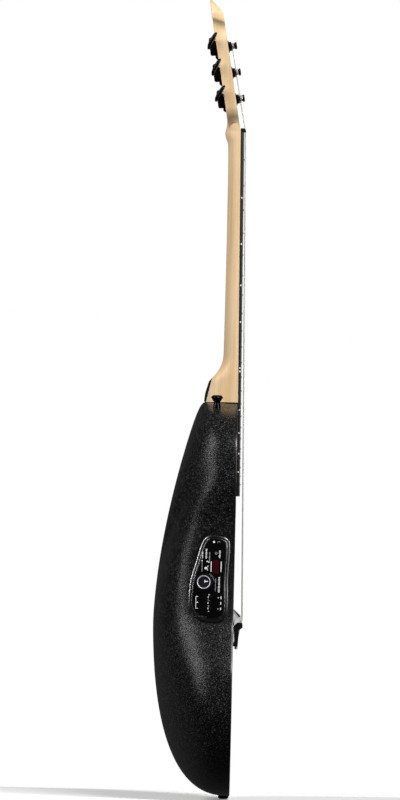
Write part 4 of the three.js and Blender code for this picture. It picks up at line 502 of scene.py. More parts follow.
def soften(bm, width, angle=35, segments=2):
    """Round every edge that is sharper than angle degrees."""
    bmesh.ops.recalc_face_normals(bm, faces=bm.faces)
    sharp = [
        edge for edge in bm.edges
        if len(edge.link_faces) == 2 and edge.calc_face_angle() > math.radians(angle)
    ]
    bmesh.ops.bevel(
        bm, geom=sharp, offset=width, segments=segments, profile=0.5, affect="EDGES",
        clamp_overlap=True, material=-1,
    )


def slice_off(bm, point, normal):
    """Cut away what lies past a plane and close the cut."""
    everything = bm.verts[:] + bm.edges[:] + bm.faces[:]
    bmesh.ops.bisect_plane(
        bm, geom=everything, plane_co=point, plane_no=Vector(normal).normalized(), clear_outer=True,
    )
    bmesh.ops.edgeloop_fill(bm, edges=[edge for edge in bm.edges if edge.is_boundary])


print("shape tools are ready")

# %% [markdown]
# Curves are drawn through a few chosen points. Each stretch is a Bezier curve whose handles follow
# the spacing of the points, so that the curve doesn't swing past a short step. An outline can also
# be moved inward, which draws bindings, bezels and lids.

# %% Smooth curves and inward steps
def smooth_curve(corners, spacing, closed=True):
    """Points about spacing apart on a smooth curve through corners."""
    if closed:
        padded = corners[-1:] + corners + corners[:2]
    else:
        padded = [corners[0] * 2 - corners[1]] + corners + [corners[-1] * 2 - corners[-2]]
    points = []
    for before, here, there, after in zip(padded, padded[1:], padded[2:], padded[3:]):
        # Each stretch counts by the root of its length.
        lead = (here - before).length ** 0.5
        span = (there - here).length ** 0.5
        tail = (after - there).length ** 0.5
        leave = ((here - before) / lead - (there - before) / (lead + span) + (there - here) / span) * span
        reach = ((there - here) / span - (after - here) / (span + tail) + (after - there) / tail) * span
        steps = max(1, round((there - here).length / spacing))
        points += interpolate_bezier(here, here + leave / 3, there - reach / 3, there, steps + 1)[:-1]
    if not closed:
        points.append(corners[-1])
    return points


def inset(points, distance):
    """A closed flat outline moved inward by a distance."""
    after = points[1:] + points[:1]
    before = points[-1:] + points[:-1]
    facing = sum((here.cross(there) for here, there in zip(points, after)), Vector()).normalized()
    moved = []
    for last, here, there in zip(before, points, after):
        moved.append(here + facing.cross(there - last).normalized() * distance)
    return moved


def raised(points, y):
    """An outline drawn flat, moved to depth y."""
    return [Vector((point.x, y, point.z)) for point in points]


def circle(x, z, radius, steps=40):
    """A circle in the plane of the soundboard."""
    angles = [math.tau * s / steps for s in range(steps)]
    return [Vector((x + radius * math.cos(a), 0, z + radius * math.sin(a))) for a in angles]


print("curve tools are ready")

# %% [markdown]
# A finished piece is welded and turned to face outwards, and its edges are smooth where they are not
# sharp. It rides on one body of the guitar and stands for the solids that it dresses.

# %% Finish and carve a piece
SMOOTH_ANGLE = math.radians(32)


def shade(mesh):
    """Smooth shading that stops at sharp edges."""
    mesh.polygons.foreach_set("use_smooth", [True] * len(mesh.polygons))
    mesh.set_sharp_from_angle(angle=SMOOTH_ANGLE)


def finish(name, bm, material, nodes=(), body="guitar", place=DRAWING, recalculate=True):
    """Turn a drawing to a piece of the guitar."""
    bmesh.ops.remove_doubles(bm, verts=bm.verts, dist=WELD)
    bmesh.ops.dissolve_degenerate(bm, edges=bm.edges, dist=WELD)
    if recalculate:
        bmesh.ops.recalc_face_normals(bm, faces=bm.faces)
    bmesh.ops.transform(bm, matrix=place, verts=bm.verts)
    mesh = bpy.data.meshes.new(name)
    bm.to_mesh(mesh)
    bm.free()
    shade(mesh)
    mesh.materials.append(material)
    piece = bpy.data.objects.new(name, mesh)
    scene.collection.objects.link(piece)
    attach(piece, body)
    if nodes:
        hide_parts(*nodes)
    return piece


def settle(piece):
    """Make what the modifiers show the piece's own mesh."""
    graph = bpy.context.evaluated_depsgraph_get()
    result = bpy.data.meshes.new_from_object(piece.evaluated_get(graph))
    piece.modifiers.clear()
    piece.data = result
    shade(result)


def carve(piece, *fills, place=DRAWING, operation="DIFFERENCE"):
    """Cut closed shapes out of a piece, or join them to it. Each fill draws one shape."""
    tools = []
    for fill in fills:
        bm = bmesh.new()
        fill(bm)
        bmesh.ops.recalc_face_normals(bm, faces=bm.faces)
        bmesh.ops.transform(bm, matrix=place, verts=bm.verts)
        mesh = bpy.data.meshes.new("tool")
        bm.to_mesh(mesh)
        bm.free()
        tool = bpy.data.objects.new("tool", mesh)
        scene.collection.objects.link(tool)
        cut = piece.modifiers.new("cut", "BOOLEAN")
        cut.operation = operation
        cut.solver = "EXACT"
        cut.object = tool
        tools.append(tool)
    settle(piece)
    for tool in tools:
        bpy.data.objects.remove(tool)


print("smooth up to degrees:", round(math.degrees(SMOOTH_ANGLE)))

# %% [markdown]
# ## Body outline
#
# Both halves of the outline are written as shares of half the body's width and of its length. The
# bass side is one sweep; the treble side has the cutaway, which lets the hand reach the last frets.

# %% Draw the body outline
BODY_BOTTOM_Z = 5.2
BODY_LENGTH = 514.1
BODY_TOP_Z = BODY_BOTTOM_Z + BODY_LENGTH
HALF_LOWER_BOUT = 198.5
OUTLINE_SPACING = 5
BASS_SHARES = [
    (0, 0), (0.45, 0.012), (0.80, 0.085), (0.985, 0.20), (0.965, 0.305), (0.84, 0.385), (0.745, 0.44),
    (0.695, 0.51), (0.668, 0.60), (0.69, 0.70), (0.73, 0.80), (0.67, 0.90), (0.50, 0.962), (0.29, 0.987),
    (0.14, 0.9975),
]
TREBLE_SHARES = [
    (0, 1), (0.135, 0.997), (0.165, 0.96), (0.18, 0.915), (0.215, 0.872), (0.28, 0.848), (0.35, 0.846),
    (0.42, 0.862), (0.49, 0.887), (0.56, 0.905), (0.625, 0.90), (0.68, 0.872), (0.715, 0.80), (0.69, 0.70),
    (0.668, 0.60), (0.695, 0.51), (0.745, 0.44), (0.84, 0.385), (0.965, 0.305), (0.985, 0.20),
    (0.80, 0.085), (0.45, 0.012),
]
shares = [(-x, z) for x, z in BASS_SHARES] + TREBLE_SHARES
corners = [Vector((x * HALF_LOWER_BOUT, 0, BODY_BOTTOM_Z + z * BODY_LENGTH)) for x, z in shares]
OUTLINE = smooth_curve(corners, OUTLINE_SPACING)
print("points on the outline:", len(OUTLINE))

# %% [markdown]
# ## Bowl
#
# The bowl is a shallow dish. Each ring of it is the outline drawn in toward the middle and let down
# toward the back, along a curve that is round at the sides, fuller at the shoulders, and square only
# near the middle line at the neck, where the bowl ends in a step under the heel. The rings are
# skinned and the middle is closed to one point. A Solidify modifier gives the shell its 3 mm wall,
# which is truer than a solid lump: the edge shows at the openings.

# %% Model the bowl
BOWL_DEPTH = 105.2
BOWL_WALL = 3
RIM_Y = 2.8
BOWL_CENTRE_Z = BODY_BOTTOM_Z + 0.4995 * BODY_LENGTH
DEEPEST_Z = BODY_BOTTOM_Z + 0.4217 * BODY_LENGTH
NECK_END_DROP_SHARE = 0.53
DEPTH_FALL_POWER = 1.72
SIDE_POWER = 2.5
SHOULDER_POWER = 4
SHOULDER_FROM_SHARE = 0.84
NECK_END_POWER = 20
NECK_END_ANGLES = (4, 44)
OVAL_HALF_WIDTH = 165
OUTLINE_FADE_POWER = 3
BOWL_RINGS = 44


def bowl_depth(z):
    """How far the bowl's middle line lies behind the soundboard's face."""
    to_neck = max(0, (z - DEEPEST_Z) / (BODY_TOP_Z - DEEPEST_Z))
    return BOWL_DEPTH * (1 - NECK_END_DROP_SHARE * to_neck ** DEPTH_FALL_POWER)


def smooth_step(value, low, high):
    """Zero below low, one above high, and a soft rise between."""
    share = min(1, max(0, (value - low) / (high - low)))
    return share * share * (3 - 2 * share)


def bowl_point(point, share):
    """The bowl's surface at a share of the way from an outline point to the middle."""
    from_centre = Vector((point.x, 0, point.z - BOWL_CENTRE_Z))
    shoulder = smooth_step((point.z - BODY_BOTTOM_Z) / BODY_LENGTH, SHOULDER_FROM_SHARE, 1)
    off_neck = math.degrees(from_centre.angle(Vector((0, 0, 1))))
    neck_end = 1 - smooth_step(off_neck, *NECK_END_ANGLES)
    exponent = 2 / (SIDE_POWER + (SHOULDER_POWER - SIDE_POWER) * shoulder)
    exponent += (2 / NECK_END_POWER - exponent) * neck_end
    angle = share * math.pi / 2
    reach = math.cos(angle) ** exponent
    deep = math.sin(angle) ** exponent
    way = from_centre.normalized()
    oval = 1 / math.hypot(way.x / OVAL_HALF_WIDTH, way.z / (BODY_TOP_Z - BOWL_CENTRE_Z))
    radius = oval + (from_centre.length - oval) * reach ** OUTLINE_FADE_POWER
    z = BOWL_CENTRE_Z + way.z * radius * reach
    return Vector((way.x * radius * reach, RIM_Y + (bowl_depth(z) - RIM_Y) * deep, z))


bm = bmesh.new()
loops = loft(bm, [[bowl_point(p, r / BOWL_RINGS) for p in OUTLINE] for r in range(BOWL_RINGS)], "open")
middle = bmesh.ops.poke(bm, faces=bmesh.ops.edgeloop_fill(bm, edges=loops[-1])["faces"])["verts"][0]
middle.co = (0, bowl_depth(BOWL_CENTRE_Z), BOWL_CENTRE_Z)
bmesh.ops.recalc_face_normals(bm, faces=bm.faces)
if middle.link_faces[0].normal.y < 0:
    bmesh.ops.reverse_faces(bm, faces=bm.faces)
bowl = finish("bowl_shell", bm, composite, ["bowl"], recalculate=False)
wall = bowl.modifiers.new("wall", "SOLIDIFY")
wall.thickness = BOWL_WALL * MM
wall.offset = -1
settle(bowl)
print("faces on the bowl:", len(bowl.data.polygons))

# %% [markdown]
# ## Binding and soundboard
#
# A black binding wraps the edge of the soundboard, so that from the side no pale wood shows. It is
# lofted as one closed hoop with its front corner rounded. The board is cut from a sheet with its
# sound holes, three on each side of the neck, and each hole is trimmed with a thin ring.

# %% Model the binding, the soundboard and the hole rings
BINDING_WIDTH = 2.4
BOARD_BACK_Y = 2.75
SEAT = 0.05
EDGE_ROUND = 0.5
SOUND_HOLES = [
    (-82, 446, 15), (-104, 413, 12), (-110, 381, 9), (104, 428, 12), (108, 396, 10), (100, 367, 8),
]
HOLE_RING_WIDTH = 2
HOLE_RING_PROUD = 0.15

bm = bmesh.new()
loft(bm, [
    raised(inset(OUTLINE, EDGE_ROUND), 0),
    raised(inset(OUTLINE, EDGE_ROUND * 0.3), EDGE_ROUND * 0.3),
    raised(OUTLINE, EDGE_ROUND),
    raised(OUTLINE, BOARD_BACK_Y),
    raised(inset(OUTLINE, BINDING_WIDTH), BOARD_BACK_Y),
    raised(inset(OUTLINE, BINDING_WIDTH), 0),
], "joined")
finish("edge_binding_strip", bm, black_wood, ["edge_binding"])

bm = bmesh.new()
holes = [circle(*hole) for hole in SOUND_HOLES]
press(bm, inset(OUTLINE, BINDING_WIDTH + SEAT), (0, BOARD_BACK_Y, 0), holes)
finish("soundboard_plate", bm, lacquered_spruce, ["soundboard"])

bm = bmesh.new()
for x, z, radius in SOUND_HOLES:
    lathe(bm, hoop(radius, radius + HOLE_RING_WIDTH, 0, -HOLE_RING_PROUD), (x, 0, z), (0, 1, 0))
finish("sound_hole_rings", bm, black_wood)
print("sound holes:", len(SOUND_HOLES))

# %% [markdown]
# ## Neck
#
# The neck is one long loft of half-round sections. They are deep and square at the heel, shallow and
# round along the playing part, and swell to a volute behind the nut, where the head leans back and
# the wood would be weakest. A slanting cut through the heel gives the thin black cap its seat.

# %% Draw the neck's sections
NUT_FACE_Z = 873.6
NUT_WIDTH = 43
BODY_WIDTH_AT_NECK = 54
BOARD_FRONT_AT_NUT = -0.9
BOARD_THICKNESS = 5
NECK_BACK_Y = 20
HEEL_DEPTH = 44.5
HEEL_HEIGHT = 72.7
HEEL_SHARES = [
    (0, 1), (0.155, 0.945), (0.27, 0.845), (0.375, 0.745), (0.42, 0.63), (0.48, 0.465), (0.56, 0.29),
    (0.66, 0.13), (0.78, 0.03), (0.9, 0.006), (1, 0),
]
HEEL_TAPER_SHARE = 0.34
HEEL_SQUARE_SHARE = 0.5
NECK_POWER = 2.1
HEEL_POWER = 3
VOLUTE_LENGTH = 27
VOLUTE_HEIGHT = 4.2
VOLUTE_SHARES = [
    (-0.72, 0.02), (-0.5, 0.22), (-0.3, 0.72), (-0.1, 1), (0.1, 0.8), (0.3, 0.55), (0.7, 0.5), (1, 0.6),
]
NECK_ARC_STEPS = 28
NECK_SPACING = 3
HEAD_ORIGIN_Y = 4.85
HEAD_ORIGIN_Z = 878.7
HEAD_PITCH = math.radians(9.6)
THROAT_COVER = 2
CLEARANCE = 0.3


def board_width(z):
    """The fingerboard's width, which grows from the nut to the body."""
    return NUT_WIDTH + (BODY_WIDTH_AT_NECK - NUT_WIDTH) * (NUT_FACE_Z - z) / (NUT_FACE_Z - BODY_TOP_Z)


def glue_line(z):
    """Where the fingerboard is glued to the neck, and past it to the body."""
    share = min(1, (NUT_FACE_Z - z) / (NUT_FACE_Z - BODY_TOP_Z))
    at_nut = BOARD_FRONT_AT_NUT + BOARD_THICKNESS
    return at_nut + (-SEAT - at_nut) * share


def neck_section(station):
    """One section of the neck. A station holds how much heel there is, the back's y, and z."""
    heel, back, z = station
    throat = HEAD_ORIGIN_Y + (z - HEAD_ORIGIN_Z) * math.tan(HEAD_PITCH) + THROAT_COVER
    front = throat if z > HEAD_ORIGIN_Z else glue_line(z)
    power = NECK_POWER + (HEEL_POWER - NECK_POWER) * min(1, heel / HEEL_SQUARE_SHARE)
    points = []
    for s in range(NECK_ARC_STEPS + 1):
        angle = math.pi * s / NECK_ARC_STEPS
        deep = abs(math.sin(angle)) ** (2 / power)
        across = math.copysign(abs(math.cos(angle)) ** (2 / power), math.cos(angle))
        half = min(board_width(z), BODY_WIDTH_AT_NECK) / 2 * (1 - HEEL_TAPER_SHARE * heel * deep)
        points.append(Vector((half * across, front + (back - front) * deep, z)))
    return points


heel_foot = BODY_TOP_Z + CLEARANCE
stations = [
    Vector((deep, NECK_BACK_Y + deep * (HEEL_DEPTH - NECK_BACK_Y), heel_foot + up * HEEL_HEIGHT))
    for up, deep in HEEL_SHARES
] + [
    Vector((0, NECK_BACK_Y + rise * VOLUTE_HEIGHT, NUT_FACE_Z + along * VOLUTE_LENGTH))
    for along, rise in VOLUTE_SHARES
]
sections = [neck_section(station) for station in smooth_curve(stations, NECK_SPACING, closed=False)]
print("sections along the neck:", len(sections))

# %% [markdown]
# The head is a flat board, sawn to its outline and joined to the neck at a slant. Near its tip the
# outline flares to two points, the scoop below them runs through the board at a slant, and the front
# is planed back to a thin end. At its root the board's back is drawn in, so that the sides run into
# the round of the neck.

# %% Model the neck, the heel cap and the head
CAP_THICKNESS = 3
CAP_LENGTH = 28.2
CAP_LIP_Y = 38.2
HEAD_THICKNESS = 15
HEAD_LENGTH = 172
HEAD_HALF_WIDTH = 38
HEAD_ROOT = 3
HEAD_TIP_BEVEL = 19.3
HEAD_TIP_THICKNESS = 2.5
HEAD_SHARES = [
    (0.03, 0.575), (0.07, 0.63), (0.11, 0.76), (0.15, 0.85), (0.19, 0.875), (0.45, 0.90), (0.68, 0.92),
    (0.725, 0.885), (0.76, 0.86), (0.785, 0.866), (0.808, 0.90), (0.824, 0.95), (0.832, 0.98), (0.84, 1),
    (0.87, 1), (0.895, 0.985), (0.93, 0.86), (0.975, 0.50), (1, 0.14),
]
HEAD_SPACING = 2.5
HEAD_SCOOP_STARTS = (0.7, 0.8)
HEAD_SCOOP_ENDS = (0.86, 0.93)
HEAD_SCOOP_SLANT = 0.5
HEAD_THROAT_SHARE = 0.11
HEAD_THROAT_TAPER = 0.36
HEAD_ROOT_SHARE = 0.57
HEAD_ORIGIN = Matrix.Translation((0, HEAD_ORIGIN_Y, HEAD_ORIGIN_Z))
HEAD = DRAWING @ HEAD_ORIGIN @ Matrix.Rotation(-HEAD_PITCH, 4, "X")
CAP_SPAN_Z = 48
cap_seat = Vector((0, HEEL_DEPTH - CAP_THICKNESS, BODY_TOP_Z))
cap_facing = Vector((0, CAP_LENGTH, HEEL_DEPTH - CAP_LIP_Y))


def head_board(bm):
    """The head's board, planed back at its tip."""
    half = [Vector((HEAD_ROOT_SHARE * HEAD_HALF_WIDTH, 0, -HEAD_ROOT))]
    half += [Vector((across * HEAD_HALF_WIDTH, 0, along * HEAD_LENGTH)) for along, across in HEAD_SHARES]
    half = smooth_curve(half, HEAD_SPACING, closed=False)
    press(bm, half + [Vector((-p.x, 0, p.z)) for p in reversed(half)], (0, HEAD_THICKNESS, 0))
    for vert in bm.verts:
        tip_share = vert.co.z / HEAD_LENGTH
        lean = smooth_step(tip_share, *HEAD_SCOOP_STARTS) - smooth_step(tip_share, *HEAD_SCOOP_ENDS)
        vert.co.z += (vert.co.y - HEAD_THICKNESS / 2) * HEAD_SCOOP_SLANT * lean
        throat = 1 - smooth_step(tip_share, 0, HEAD_THROAT_SHARE)
        vert.co.x *= 1 - HEAD_THROAT_TAPER * throat * vert.co.y / HEAD_THICKNESS
    run = HEAD_THICKNESS - HEAD_TIP_THICKNESS
    slice_off(bm, (0, 0, HEAD_LENGTH - HEAD_TIP_BEVEL), (0, -HEAD_TIP_BEVEL, run))
    soften(bm, 0.6, angle=45)


def heel_end(bm):
    """What is sawn off the heel for the cap."""
    rise = CAP_SPAN_Z * (HEEL_DEPTH - CAP_LIP_Y) / CAP_LENGTH
    low, high = BODY_TOP_Z - 1, BODY_TOP_Z + CAP_SPAN_Z
    side = [(cap_seat.y, low), (cap_seat.y - rise, high), (2 * HEEL_DEPTH, high), (2 * HEEL_DEPTH, low)]
    press_across(bm, side, NUT_WIDTH)


bm = bmesh.new()
loft(bm, sections)
neck = finish("neck_and_head", bm, maple, ["neck"])
carve(neck, head_board, place=HEAD, operation="UNION")
carve(neck, heel_end)

bm = bmesh.new()
loft(bm, sections)
slice_off(bm, (0, 0, BODY_TOP_Z + CAP_SPAN_Z), (0, 0, 1))
slice_off(bm, cap_seat + Vector((0, SEAT, 0)), -cap_facing)
soften(bm, 0.5, angle=50)
finish("heel_cap_plate", bm, black_wood, ["heel_cap"])
print("faces on the neck:", len(neck.data.polygons))

# %% [markdown]
# ## Fingerboard
#
# The board's face is a slice of a wide cylinder. Each fret shortens the sounding string by the
# twelfth root of two, and the ebony stops 15.5 mm past the last one.

# %% Model the fingerboard
SCALE_LENGTH = 641.35
FRET_COUNT = 22
PAST_LAST_FRET = 15.5
BOARD_FRONT_AT_END = -5.4
CAMBER_RADIUS = 305
CAMBER_STEPS = 12


def fret_z(number):
    """Where a fret crosses the board."""
    return NUT_FACE_Z - SCALE_LENGTH * (1 - 2 ** (-number / 12))


BOARD_END_Z = fret_z(FRET_COUNT) - PAST_LAST_FRET


def board_front(z):
    """The board's front along its middle."""
    slope = (BOARD_FRONT_AT_END - BOARD_FRONT_AT_NUT) / (NUT_FACE_Z - BOARD_END_Z)
    return BOARD_FRONT_AT_NUT + slope * (NUT_FACE_Z - z)


def camber(x):
    """How far the board's face falls back at x from its middle."""
    return CAMBER_RADIUS - math.sqrt(CAMBER_RADIUS ** 2 - x ** 2)


def across_board(half, steps=CAMBER_STEPS):
    """Places across the board, from the bass edge to the treble edge."""
    return [half * (2 * s / steps - 1) for s in range(steps + 1)]


bm = bmesh.new()
board_rings = []
for z in (BOARD_END_Z, BODY_TOP_Z, NUT_FACE_Z - SEAT):
    half = board_width(z) / 2
    back = glue_line(z) - SEAT
    face = [Vector((x, board_front(z) + camber(x), z)) for x in across_board(half)]
    board_rings.append([Vector((half, back, z)), Vector((-half, back, z))] + face)
loft(bm, board_rings)
soften(bm, 0.35, angle=50)
finish("fingerboard_wood", bm, ebony, ["fingerboard"])
print("board from", round(BOARD_END_Z, 1), "to", NUT_FACE_Z)

# %% [markdown]
# The frets are half-round wire, pressed in across the board. White dots in the board's edge and face
# mark the third, fifth, seventh, ninth, twelfth and later frets.

# %% Press in the frets and the dots
FRET_HALF = 1.1
FRET_RISE = 1.0
FRET_END_INSET = 0.4
FRET_SECTION = [(-1, -0.3), (-0.86, 0.45), (-0.5, 0.87), (0, 1), (0.5, 0.87), (0.86, 0.45), (1, -0.3)]
DOTTED = [3, 5, 7, 9, 12, 15, 17, 19, 21]
SIDE_DOT_RADIUS = 1.1
FACE_DOT_RADIUS = 3
DOT_PROUD = 0.08
DOUBLE_SPACING = 4.5
FACE_DOUBLE_SPACING = 11

bm = bmesh.new()
for number in range(1, FRET_COUNT + 1):
    z = fret_z(number)
    loft(bm, [
        [
            Vector((x, board_front(z) - rise * FRET_RISE + camber(x), z + along * FRET_HALF))
            for along, rise in FRET_SECTION
        ]
        for x in across_board(board_width(z) / 2 - FRET_END_INSET)
    ])
finish("fret_wires", bm, nickel_silver)

side_dots = bmesh.new()
face_dots = bmesh.new()
for number in DOTTED:
    z = (fret_z(number) + fret_z(number - 1)) / 2
    steps = (-0.5, 0.5) if number == 12 else (0,)
    for step in steps:
        side_z = z + step * DOUBLE_SPACING
        side_y = (board_front(z) + glue_line(z)) / 2
        lathe(side_dots, [
            (0, DOT_PROUD), (SIDE_DOT_RADIUS * 0.9, DOT_PROUD), (SIDE_DOT_RADIUS, 0), (SIDE_DOT_RADIUS, -1),
            (0, -1),
        ], (-board_width(side_z) / 2, side_y, side_z), (-1, 0, 0), (0, 0, 1), 20)
        x = step * FACE_DOUBLE_SPACING * 2
        face_y = board_front(z) + camber(x)
        lathe(face_dots, rod(FACE_DOT_RADIUS, DOT_PROUD, -1), (x, face_y, z), (0, -1, 0), (0, 0, 1), 28)
finish("side_dots", side_dots, white_urea)
finish("face_dots", face_dots, white_urea)
print("frets:", FRET_COUNT, "last at", round(fret_z(FRET_COUNT), 1))

# %% [markdown]
# ## Nut, bridge and saddle
#
# The nut is black and rounded toward the head, where the strings bend down to their posts.

# %% Model the nut
NUT_LENGTH = 5
NUT_PROUD = 2
nut_front = BOARD_FRONT_AT_NUT - NUT_PROUD
nut_back = glue_line(NUT_FACE_Z) - SEAT
NUT_CURVE = [(0, 0), (0, 0.4), (0.12, 0.56), (0.3, 0.7), (0.6, 0.83), (1.1, 0.93), (1.8, 1)]

bm = bmesh.new()
nut_side = [(nut_back, NUT_FACE_Z)]
nut_side += [(nut_front + fall * NUT_PROUD, NUT_FACE_Z + along * NUT_LENGTH) for fall, along in NUT_CURVE]
nut_side += [(nut_back, NUT_FACE_Z + NUT_LENGTH)]
press_across(bm, nut_side, NUT_WIDTH / 2)
soften(bm, 0.3, angle=60)
finish("string_nut", bm, black_wood, ["nut"])
print("nut in mm:", NUT_WIDTH, "by", NUT_LENGTH)

# %% [markdown]
# The bridge is glued to the soundboard: a thick core with a ramp, a slot for the white saddle, a
# ridge that the strings go through and a tail, and on each side a thin wing that spreads their pull.

# %% Model the bridge
SADDLE_CREST_Z = NUT_FACE_Z - SCALE_LENGTH + 2.15
SADDLE_FRONT_Z = SADDLE_CREST_Z + 5
SADDLE_BACK_Z = SADDLE_CREST_Z - 2.2
BRIDGE_FRONT_Z = SADDLE_FRONT_Z + 8.5
RIDGE_FRONT_Z = SADDLE_BACK_Z - 0.6
RIDGE_BACK_Z = RIDGE_FRONT_Z - 6.2
BRIDGE_TAIL_Z = RIDGE_BACK_Z - 24.7
BRIDGE_HALF_CORE = 42
BRIDGE_HALF_WIDTH = 84
CORE_SIDE = [
    (0, BRIDGE_FRONT_Z), (1.2, BRIDGE_FRONT_Z), (9.6, SADDLE_FRONT_Z + 0.8), (9.6, SADDLE_FRONT_Z + SEAT),
    (4.8, SADDLE_FRONT_Z + SEAT), (4.8, SADDLE_BACK_Z - SEAT), (9.6, SADDLE_BACK_Z - SEAT),
    (9.6, RIDGE_FRONT_Z), (11.1, RIDGE_FRONT_Z), (12.3, RIDGE_FRONT_Z - 1.2), (12.3, RIDGE_BACK_Z),
    (8, RIDGE_BACK_Z - 3.5), (6.4, BRIDGE_TAIL_Z), (0, BRIDGE_TAIL_Z),
]
# Each station is a share of the half width, and where the wing starts and ends along the bridge.
WING_STATIONS = [
    (0.47, 0, 1), (0.56, 0.02, 0.985), (0.7, 0.1, 0.92), (0.85, 0.2, 0.83), (0.93, 0.29, 0.75),
    (0.97, 0.35, 0.69), (0.99, 0.43, 0.61), (1, 0.5, 0.54),
]
WING_ROOT_HEIGHT = 9.4
WING_END_HEIGHT = 0.8
WING_FALL_POWER = 0.85
WING_SPACING = 0.03
WING_CREST = [
    (0, 0.06), (0.05, 0.3), (0.15, 0.42), (0.4, 0.45), (0.56, 0.5), (0.62, 0.6), (0.66, 0.95), (0.72, 1),
    (0.82, 0.98), (0.9, 0.56), (0.96, 0.24), (1, 0.05),
]

bm = bmesh.new()
press_across(bm, [(-rise - SEAT, z) for rise, z in CORE_SIDE], BRIDGE_HALF_CORE)
soften(bm, 0.4, angle=30)
finish("bridge_core", bm, black_lacquer, ["bridge"])


def wing_section(station, side):
    """One section across a wing, which slopes from the core down to the wing's end."""
    across, start, end = station
    out = max(0, (across - WING_STATIONS[0][0]) / (1 - WING_STATIONS[0][0]))
    height = WING_ROOT_HEIGHT + (WING_END_HEIGHT - WING_ROOT_HEIGHT) * out ** WING_FALL_POWER
    points = [Vector((across, start, 0))] + [
        Vector((across, start + (end - start) * along, height * rise)) for along, rise in WING_CREST
    ] + [Vector((across, end, 0))]
    half, length = side * BRIDGE_HALF_WIDTH, BRIDGE_FRONT_Z - BRIDGE_TAIL_Z
    return [Vector((p.x * half, -SEAT - p.z, BRIDGE_TAIL_Z + p.y * length)) for p in points]


bm = bmesh.new()
for side in (-1, 1):
    stations = smooth_curve([Vector(station) for station in WING_STATIONS], WING_SPACING, closed=False)
    loft(bm, [wing_section(station, side) for station in stations])
finish("bridge_wings", bm, black_lacquer)
print("bridge from", round(BRIDGE_TAIL_Z, 1), "to", round(BRIDGE_FRONT_Z, 1))

# %% [markdown]
# The saddle is a wedge in the bridge's slot. Its crest follows the board's camber, so that every
# string stands equally high over the frets.

# %% Model the saddle
SADDLE_HALF_WIDTH = 37
SADDLE_STEPS = 16
SADDLE_RISE = 2
SADDLE_FOOT_Y = -4.8
STRING_DIAMETERS = [1.35, 1.07, 0.81, 0.61, 0.46, 0.38]
SADDLE_STRING_Y = -12.4
SADDLE_REST = 0.22

bm = bmesh.new()
saddle_rings = []
for x in across_board(SADDLE_HALF_WIDTH, SADDLE_STEPS):
    crest = SADDLE_STRING_Y + SADDLE_REST + STRING_DIAMETERS[0] / 2 + camber(x)
    saddle_rings.append([Vector((x, y, z)) for y, z in (
        (SADDLE_FOOT_Y, SADDLE_FRONT_Z), (crest + SADDLE_RISE, SADDLE_FRONT_Z),
        (crest, SADDLE_CREST_Z + 0.5), (crest, SADDLE_CREST_Z), (crest + SADDLE_RISE, SADDLE_BACK_Z),
        (SADDLE_FOOT_Y, SADDLE_BACK_Z),
    )])
loft(bm, saddle_rings)
soften(bm, 0.2, angle=25)
finish("saddle_bone", bm, white_urea, ["saddle"])
print("saddle crest at", round(SADDLE_CREST_Z, 1))

# %% [markdown]
# ## Strings
#
# A string starts at its ball in the bridge's tail, bends over the saddle and the nut, and winds down
# its post. Its route is a row of points.

# %% Route the strings
POST_X_SHARES = [0.54, 0.59, 0.63]
TUNER_FIRST = 38.4
TUNER_PITCH = 34.8
POST_RADIUS = 3
HEX_HEIGHT = 4.6
STRING_LOOPS = [1.5, 2, 2, 2.25, 2.25, 2.25]
LOOP_STEPS = 24
TURN_GAP = 0.46
POST_GAP = 0.12
SPREAD_AT_NUT = 36
SPREAD_AT_SADDLE = 54
SLOT_FLOOR = 1.35
BALL_RADIUS = 2.1
BALL_LENGTH = 3.6
TAIL_HOLE_Y = -4.6
RIDGE_HOLE_Y = -9.9
SADDLE_TURN = 0.5
WOUND_COUNT = 4
string_count = len(STRING_DIAMETERS)
to_drawing = DRAWING.inverted()


def post_place(i):
    """The side, the x and the distance up the head of the post of string i, counted from the bass."""
    bass = i < string_count / 2
    row = i if bass else string_count - 1 - i
    side = -1 if bass else 1
    return side, side * POST_X_SHARES[row] * HEAD_HALF_WIDTH, TUNER_FIRST + TUNER_PITCH * row


def winding(i, start):
    """Points down the post, from where the string from start first touches it."""
    radius = STRING_DIAMETERS[i] / 2
    around = POST_RADIUS + radius + POST_GAP
    side, post_x, along = post_place(i)
    way = Vector((-side * (start.x - post_x), start.z - along))
    first = math.atan2(way.y, way.x) + math.acos(around / way.length)
    points = []
    for s in range(round(STRING_LOOPS[i] * LOOP_STEPS) + 1):
        angle = first + math.tau * s / LOOP_STEPS
        down = HEX_HEIGHT + radius + POST_GAP + (STRING_DIAMETERS[i] + TURN_GAP) * s / LOOP_STEPS
        x = post_x - side * around * math.cos(angle)
        points.append(Vector((x, -down, along + around * math.sin(angle))))
    end = (points[-1] - points[-2]).normalized() * STRING_DIAMETERS[i]
    return points + [points[-1] + end]


